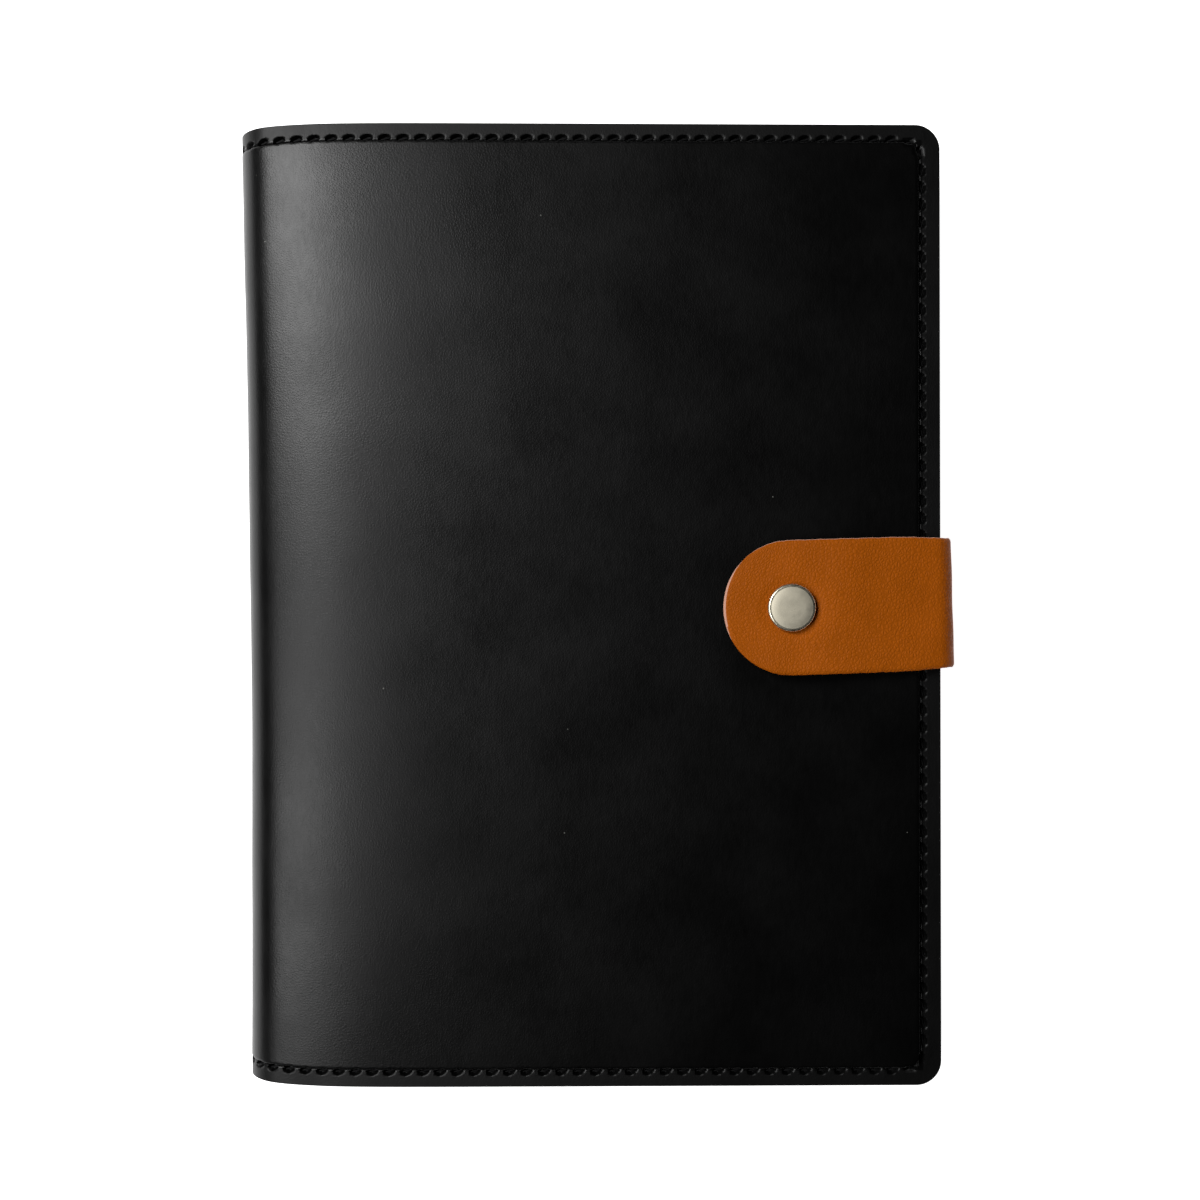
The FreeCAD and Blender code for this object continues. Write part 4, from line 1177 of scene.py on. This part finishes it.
def raw_edge(colours):
    """Cut edge of the strap, left unpainted: pale, pinkish and fibrous."""
    tree, shader = new_finish("Raw leather edge", Roughness=0.85, Specular_IOR_Level=0.2)
    place = add(tree, "TexCoord").outputs["Object"]
    fibres = add(tree, "TexNoise", {"Scale": 1 / (0.35 * MM), "Detail": 5, "Roughness": 0.7},
                 {"Vector": place})
    tone = add(tree, "Mix", {6: shade(colours.raw_edge, 0.62), 7: shade(colours.raw_edge, 1.15)},
               {0: fibres.outputs[0]}, data_type="RGBA")
    bump = add(tree, "Bump", {"Distance": 0.12 * MM}, {"Height": fibres.outputs[0]})
    tree.links.new(tone.outputs[2], shader.inputs["Base Color"])
    tree.links.new(bump.outputs[0], shader.inputs["Normal"])


def waxed_thread(colours):
    """Waxed polyester thread, with a dull wax sheen. Its twist is drawn 6.3 mm long along a seam, which
    is longer than a stitch and much coarser than a real one."""
    tree, shader = new_finish("Waxed thread", Roughness=0.65, Specular_IOR_Level=0.12)
    place = add(tree, "TexCoord").outputs["Object"]
    plies = add(tree, "TexWave", {"Scale": 1 / (0.5 * MM) / BAND_TURN, "Distortion": 1.5},
                {"Vector": place}, bands_direction="DIAGONAL")
    tone = add(tree, "Mix", {6: shade(colours.thread, 0.45), 7: shade(colours.thread, 1.3)},
               {0: plies.outputs["Fac"]}, data_type="RGBA")
    bump = add(tree, "Bump", {"Distance": 0.06 * MM}, {"Height": plies.outputs["Fac"]})
    tree.links.new(tone.outputs[2], shader.inputs["Base Color"])
    tree.links.new(bump.outputs[0], shader.inputs["Normal"])


def twill_lining(colours):
    """Cotton twill: diagonal ribs over a fine crossing weave. The ribs are drawn 10.7 mm apart, much
    coarser than real ones."""
    tree, shader = new_finish("Cotton twill lining", Roughness=0.9, Specular_IOR_Level=0.2, Sheen_Weight=0.25)
    flat = add(tree, "UVMap", uv_map="Flat").outputs[0]
    ribs = add(tree, "TexWave", {"Scale": 1 / (1.2 * MM) / BAND_TURN, "Distortion": 0.6, "Detail": 1},
               {"Vector": flat}, bands_direction="DIAGONAL")
    weave = add(tree, "TexNoise", {"Scale": 1 / (0.5 * MM), "Detail": 3}, {"Vector": flat})
    height = add(tree, "Math", {1: 0.5}, {0: weave.outputs[0], 2: ribs.outputs["Fac"]},
                 operation="MULTIPLY_ADD")
    tone = add(tree, "Mix", {6: shade(colours.lining, 0.6), 7: shade(colours.lining, 1.5)},
               {0: ribs.outputs["Fac"]}, data_type="RGBA")
    bump = add(tree, "Bump", {"Distance": 0.08 * MM}, {"Height": height.outputs[0]})
    tree.links.new(tone.outputs[2], shader.inputs["Base Color"])
    tree.links.new(bump.outputs[0], shader.inputs["Normal"])


def wool_felt(colours):
    """Pressed wool felt: matt, with a tangle of fibres."""
    tree, shader = new_finish("Wool felt", Roughness=0.95, Sheen_Weight=0.3)
    place = add(tree, "TexCoord").outputs["Object"]
    tangle = add(tree, "TexNoise", {"Scale": 1 / (0.9 * MM), "Detail": 6, "Distortion": 2}, {"Vector": place})
    tone = add(tree, "Mix", {6: shade(colours.padding, 0.7), 7: shade(colours.padding, 1.2)},
               {0: tangle.outputs[0]}, data_type="RGBA")
    bump = add(tree, "Bump", {"Distance": 0.2 * MM}, {"Height": tangle.outputs[0]})
    tree.links.new(tone.outputs[2], shader.inputs["Base Color"])
    tree.links.new(bump.outputs[0], shader.inputs["Normal"])


def plated(colours):
    """Nickel plate over pressed brass, tumbled rather than polished: warm grey, softly mottled."""
    tree, shader = new_finish("Nickel-plated brass", Metallic=1.0)
    place = add(tree, "TexCoord").outputs["Object"]
    mottle = add(tree, "TexNoise", {"Scale": 1 / (1.1 * MM), "Detail": 5, "Roughness": 0.65},
                 {"Vector": place})
    rough = add(tree, "MapRange", {"To Min": 0.2, "To Max": 0.42}, {"Value": mottle.outputs[0]})
    tone = add(tree, "Mix", {6: shade(colours.nickel, 0.85), 7: shade(colours.nickel, 1.05)},
               {0: mottle.outputs[0]}, data_type="RGBA")
    bump = add(tree, "Bump", {"Distance": 0.012 * MM}, {"Height": mottle.outputs[0]})
    tree.links.new(tone.outputs[2], shader.inputs["Base Color"])
    tree.links.new(rough.outputs[0], shader.inputs["Roughness"])
    tree.links.new(bump.outputs[0], shader.inputs["Normal"])


def satin_disc(colours):
    """The cap's flat top, brushed satin after plating: a soft even grey beside the bright rim."""
    tree, shader = new_finish("Satin nickel disc", Metallic=1.0)
    place = add(tree, "TexCoord").outputs["Object"]
    mottle = add(tree, "TexNoise", {"Scale": 1 / (1.6 * MM), "Detail": 6, "Roughness": 0.6},
                 {"Vector": place})
    rough = add(tree, "MapRange", {"To Min": 0.46, "To Max": 0.6}, {"Value": mottle.outputs[0]})
    tone = add(tree, "Mix", {6: shade(colours.nickel, 0.8), 7: shade(colours.nickel, 0.9)},
               {0: mottle.outputs[0]}, data_type="RGBA")
    tree.links.new(tone.outputs[2], shader.inputs["Base Color"])
    tree.links.new(rough.outputs[0], shader.inputs["Roughness"])


def spring_steel(colours):
    """Drawn spring wire: bright, with faint die lines."""
    tree, shader = new_finish("Spring steel", Metallic=1.0)
    place = add(tree, "TexCoord").outputs["Object"]
    lines = add(tree, "Mapping", {"Scale": (1 / (6 * MM), 1 / (0.15 * MM), 1 / (0.15 * MM))},
                {"Vector": place})
    drawn = add(tree, "TexNoise", {"Scale": 1.0, "Detail": 3}, {"Vector": lines.outputs[0]})
    rough = add(tree, "MapRange", {"To Min": 0.18, "To Max": 0.4}, {"Value": drawn.outputs[0]})
    tone = add(tree, "Mix", {6: shade(colours.steel, 0.8), 7: shade(colours.steel, 1.1)},
               {0: drawn.outputs[0]}, data_type="RGBA")
    tree.links.new(tone.outputs[2], shader.inputs["Base Color"])
    tree.links.new(rough.outputs[0], shader.inputs["Roughness"])


def bookcloth(colours):
    """Card board covered in dark bookcloth: crossed threads, drawn 5 mm apart, much coarser than real
    ones."""
    tree, shader = new_finish("Bookcloth board", Roughness=0.75, Specular_IOR_Level=0.3)
    place = add(tree, "TexCoord").outputs["Object"]
    warp = add(tree, "TexWave", {"Scale": 1 / (0.8 * MM) / BAND_TURN}, {"Vector": place}, bands_direction="X")
    weft = add(tree, "TexWave", {"Scale": 1 / (0.8 * MM) / BAND_TURN}, {"Vector": place}, bands_direction="Y")
    weave = add(tree, "Math", links={0: warp.outputs["Fac"], 1: weft.outputs["Fac"]}, operation="ADD")
    half = add(tree, "Math", {1: 0.5}, {0: weave.outputs[0]}, operation="MULTIPLY")
    tone = add(tree, "Mix", {6: shade(colours.board, 0.7), 7: shade(colours.board, 1.4)},
               {0: half.outputs[0]}, data_type="RGBA")
    bump = add(tree, "Bump", {"Distance": 0.05 * MM}, {"Height": half.outputs[0]})
    tree.links.new(tone.outputs[2], shader.inputs["Base Color"])
    tree.links.new(bump.outputs[0], shader.inputs["Normal"])


def page_paper(colours):
    """Uncoated cream paper in a block: sheet edges, drawn 2.2 mm apart and so much thicker than real ones, as
    lines of painted shade between the sheets on the block's sides, and a soft tooth."""
    tree, shader = new_finish("Page block paper", Roughness=0.85, Specular_IOR_Level=0.25)
    place = add(tree, "TexCoord").outputs["Object"]
    sheets = add(tree, "TexWave", {"Scale": 1 / (0.35 * MM) / BAND_TURN, "Distortion": 1.2, "Detail": 2},
                 {"Vector": place}, bands_direction="Z")
    facing = add(tree, "NewGeometry")
    normal = add(tree, "SeparateXYZ", links={0: facing.outputs["Normal"]})
    upright = add(tree, "Math", links={0: normal.outputs[2]}, operation="ABSOLUTE")
    on_edge = add(tree, "MapRange", {"From Min": 0.9, "From Max": 0.4}, {"Value": upright.outputs[0]})
    lines = add(tree, "Math", links={0: sheets.outputs["Fac"], 1: on_edge.outputs[0]}, operation="MULTIPLY")
    tooth = add(tree, "TexNoise", {"Scale": 1 / (0.6 * MM), "Detail": 5}, {"Vector": place})
    # Painted shade: the block's sides darken along the lines between sheets, where shade falls in the gaps.
    tone = add(tree, "Mix", {6: shade(colours.paper), 7: shade(colours.paper, 0.62)},
               {0: lines.outputs[0]}, data_type="RGBA")
    height = add(tree, "Math", {1: 0.3}, {0: tooth.outputs[0], 2: lines.outputs[0]}, operation="MULTIPLY_ADD")
    bump = add(tree, "Bump", {"Distance": 0.06 * MM}, {"Height": height.outputs[0]})
    tree.links.new(tone.outputs[2], shader.inputs["Base Color"])
    tree.links.new(bump.outputs[0], shader.inputs["Normal"])


def endpaper(colours):
    """Plain endpaper: the page paper, a little heavier and warmer, with flecks of fibre."""
    tree, shader = new_finish("Endpaper", Roughness=0.8, Specular_IOR_Level=0.25)
    place = add(tree, "TexCoord").outputs["Object"]
    flecks = add(tree, "TexNoise", {"Scale": 1 / (1.4 * MM), "Detail": 6, "Roughness": 0.7},
                 {"Vector": place})
    tone = add(tree, "Mix", {6: shade(colours.paper, 0.85), 7: shade(colours.paper, 1.0)},
               {0: flecks.outputs[0]}, data_type="RGBA")
    bump = add(tree, "Bump", {"Distance": 0.04 * MM}, {"Height": flecks.outputs[0]})
    tree.links.new(tone.outputs[2], shader.inputs["Base Color"])
    tree.links.new(bump.outputs[0], shader.inputs["Normal"])


FINISHES = (black_calf, painted_edge, sleeve_leather, tan_bridle, raw_edge, waxed_thread, twill_lining,
            wool_felt, plated, satin_disc, spring_steel, bookcloth, page_paper, endpaper)


class COVER_OT_finishes(bpy.types.Operator):
    """Mix the finishes of every leather, thread, metal, board and paper"""

    bl_idname = "cover.finishes"
    bl_label = "Finishes"

    def execute(self, context):
        for finish in FINISHES:
            finish(context.scene.notebook_colours)
        return {"FINISHED"}


# ---------------------------------------------------------------- the stage


class COVER_OT_stage(bpy.types.Operator):
    """Lay a pale floor, hang soft lights and set the camera straight above the cover"""

    bl_idname = "cover.stage"
    bl_label = "Stage"

    def execute(self, context):
        scene = context.scene
        select_only()
        bpy.ops.mesh.primitive_plane_add(size=6, location=(0, 0, -0.2 * MM))
        floor = context.object
        floor.name = "floor"
        _, shader = new_finish("Pale floor", Roughness=0.9, Specular_IOR_Level=0.1)
        shader.inputs["Base Color"].default_value = (0.86, 0.86, 0.86, 1)
        shader.inputs["Emission Color"].default_value = (1, 1, 1, 1)
        shader.inputs["Emission Strength"].default_value = 1.0
        floor.data.materials.append(bpy.data.materials["Pale floor"])

        for name, place, width, height, power in (
            ("window_light", (-0.60, 0.38, 0.92), 0.38, 0.60, 14.0),
            ("long_light", (-0.62, -0.24, 0.92), 0.30, 0.56, 5.2),
        ):
            bpy.ops.object.light_add(type="AREA", location=place)
            light = context.object
            light.name = name
            light.data.shape = "RECTANGLE"
            light.data.size = width
            light.data.size_y = height
            light.data.energy = power
            light.rotation_euler = (-Vector(place)).to_track_quat("-Z", "Y").to_euler()

        world = bpy.data.worlds.new("Studio")
        world.use_nodes = True
        world.node_tree.nodes["Background"].inputs[0].default_value = (1, 1, 1, 1)
        world.node_tree.nodes["Background"].inputs[1].default_value = 0.012
        scene.world = world

        distance, field, sensor = 340 * MM, 274.7 * MM, 36
        bpy.ops.object.camera_add(location=(2.63 * MM, 1.14 * MM, FRONT_FACE + distance), rotation=(0, 0, 0))
        camera = context.object
        camera.name = "camera"
        camera.data.sensor_width = sensor
        camera.data.lens = sensor * distance / field
        camera.data.clip_start = 0.01
        scene.camera = camera
        scene.view_settings.view_transform = "Standard"
        return {"FINISHED"}


# ---------------------------------------------------------------- the panel and the run

STEPS = (COVER_OT_finishes, COVER_OT_stage, COVER_OT_outer_leather, COVER_OT_seams, COVER_OT_padding,
         COVER_OT_lining, COVER_OT_sleeves, COVER_OT_strap, COVER_OT_snap, COVER_OT_notebook)


class COVER_PT_panel(bpy.types.Panel):
    """Lists the sizes, the colours and the steps in order"""

    bl_idname = "COVER_PT_panel"
    bl_label = "Notebook cover"
    bl_space_type = "VIEW_3D"
    bl_region_type = "UI"
    bl_category = "Notebook cover"

    def draw(self, context):
        scene = context.scene
        for group in (scene.notebook_cover, scene.notebook_strap, scene.notebook_colours):
            box = self.layout.box()
            for name in group.bl_rna.properties.keys():
                if name not in ("rna_type", "name"):
                    box.prop(group, name)
        for step in STEPS:
            self.layout.operator(step.bl_idname)


GROUPS = {"notebook_cover": CoverSizes, "notebook_strap": StrapSizes, "notebook_colours": FinishColours}


def register():
    """Register the classes and hang their sizes and colours on the scene."""
    for cls in (*GROUPS.values(), *STEPS, COVER_PT_panel):
        bpy.utils.register_class(cls)
    for name, group in GROUPS.items():
        setattr(bpy.types.Scene, name, PointerProperty(type=group))


def unregister():
    """Take away what register added."""
    for name in GROUPS:
        delattr(bpy.types.Scene, name)
    for cls in (COVER_PT_panel, *reversed(STEPS), *GROUPS.values()):
        bpy.utils.unregister_class(cls)


def main():
    """Make the notebook cover step by step."""
    register()
    for step in STEPS:
        group, name = step.bl_idname.split(".")
        getattr(getattr(bpy.ops, group), name)()


if __name__ == "__main__":
    main()
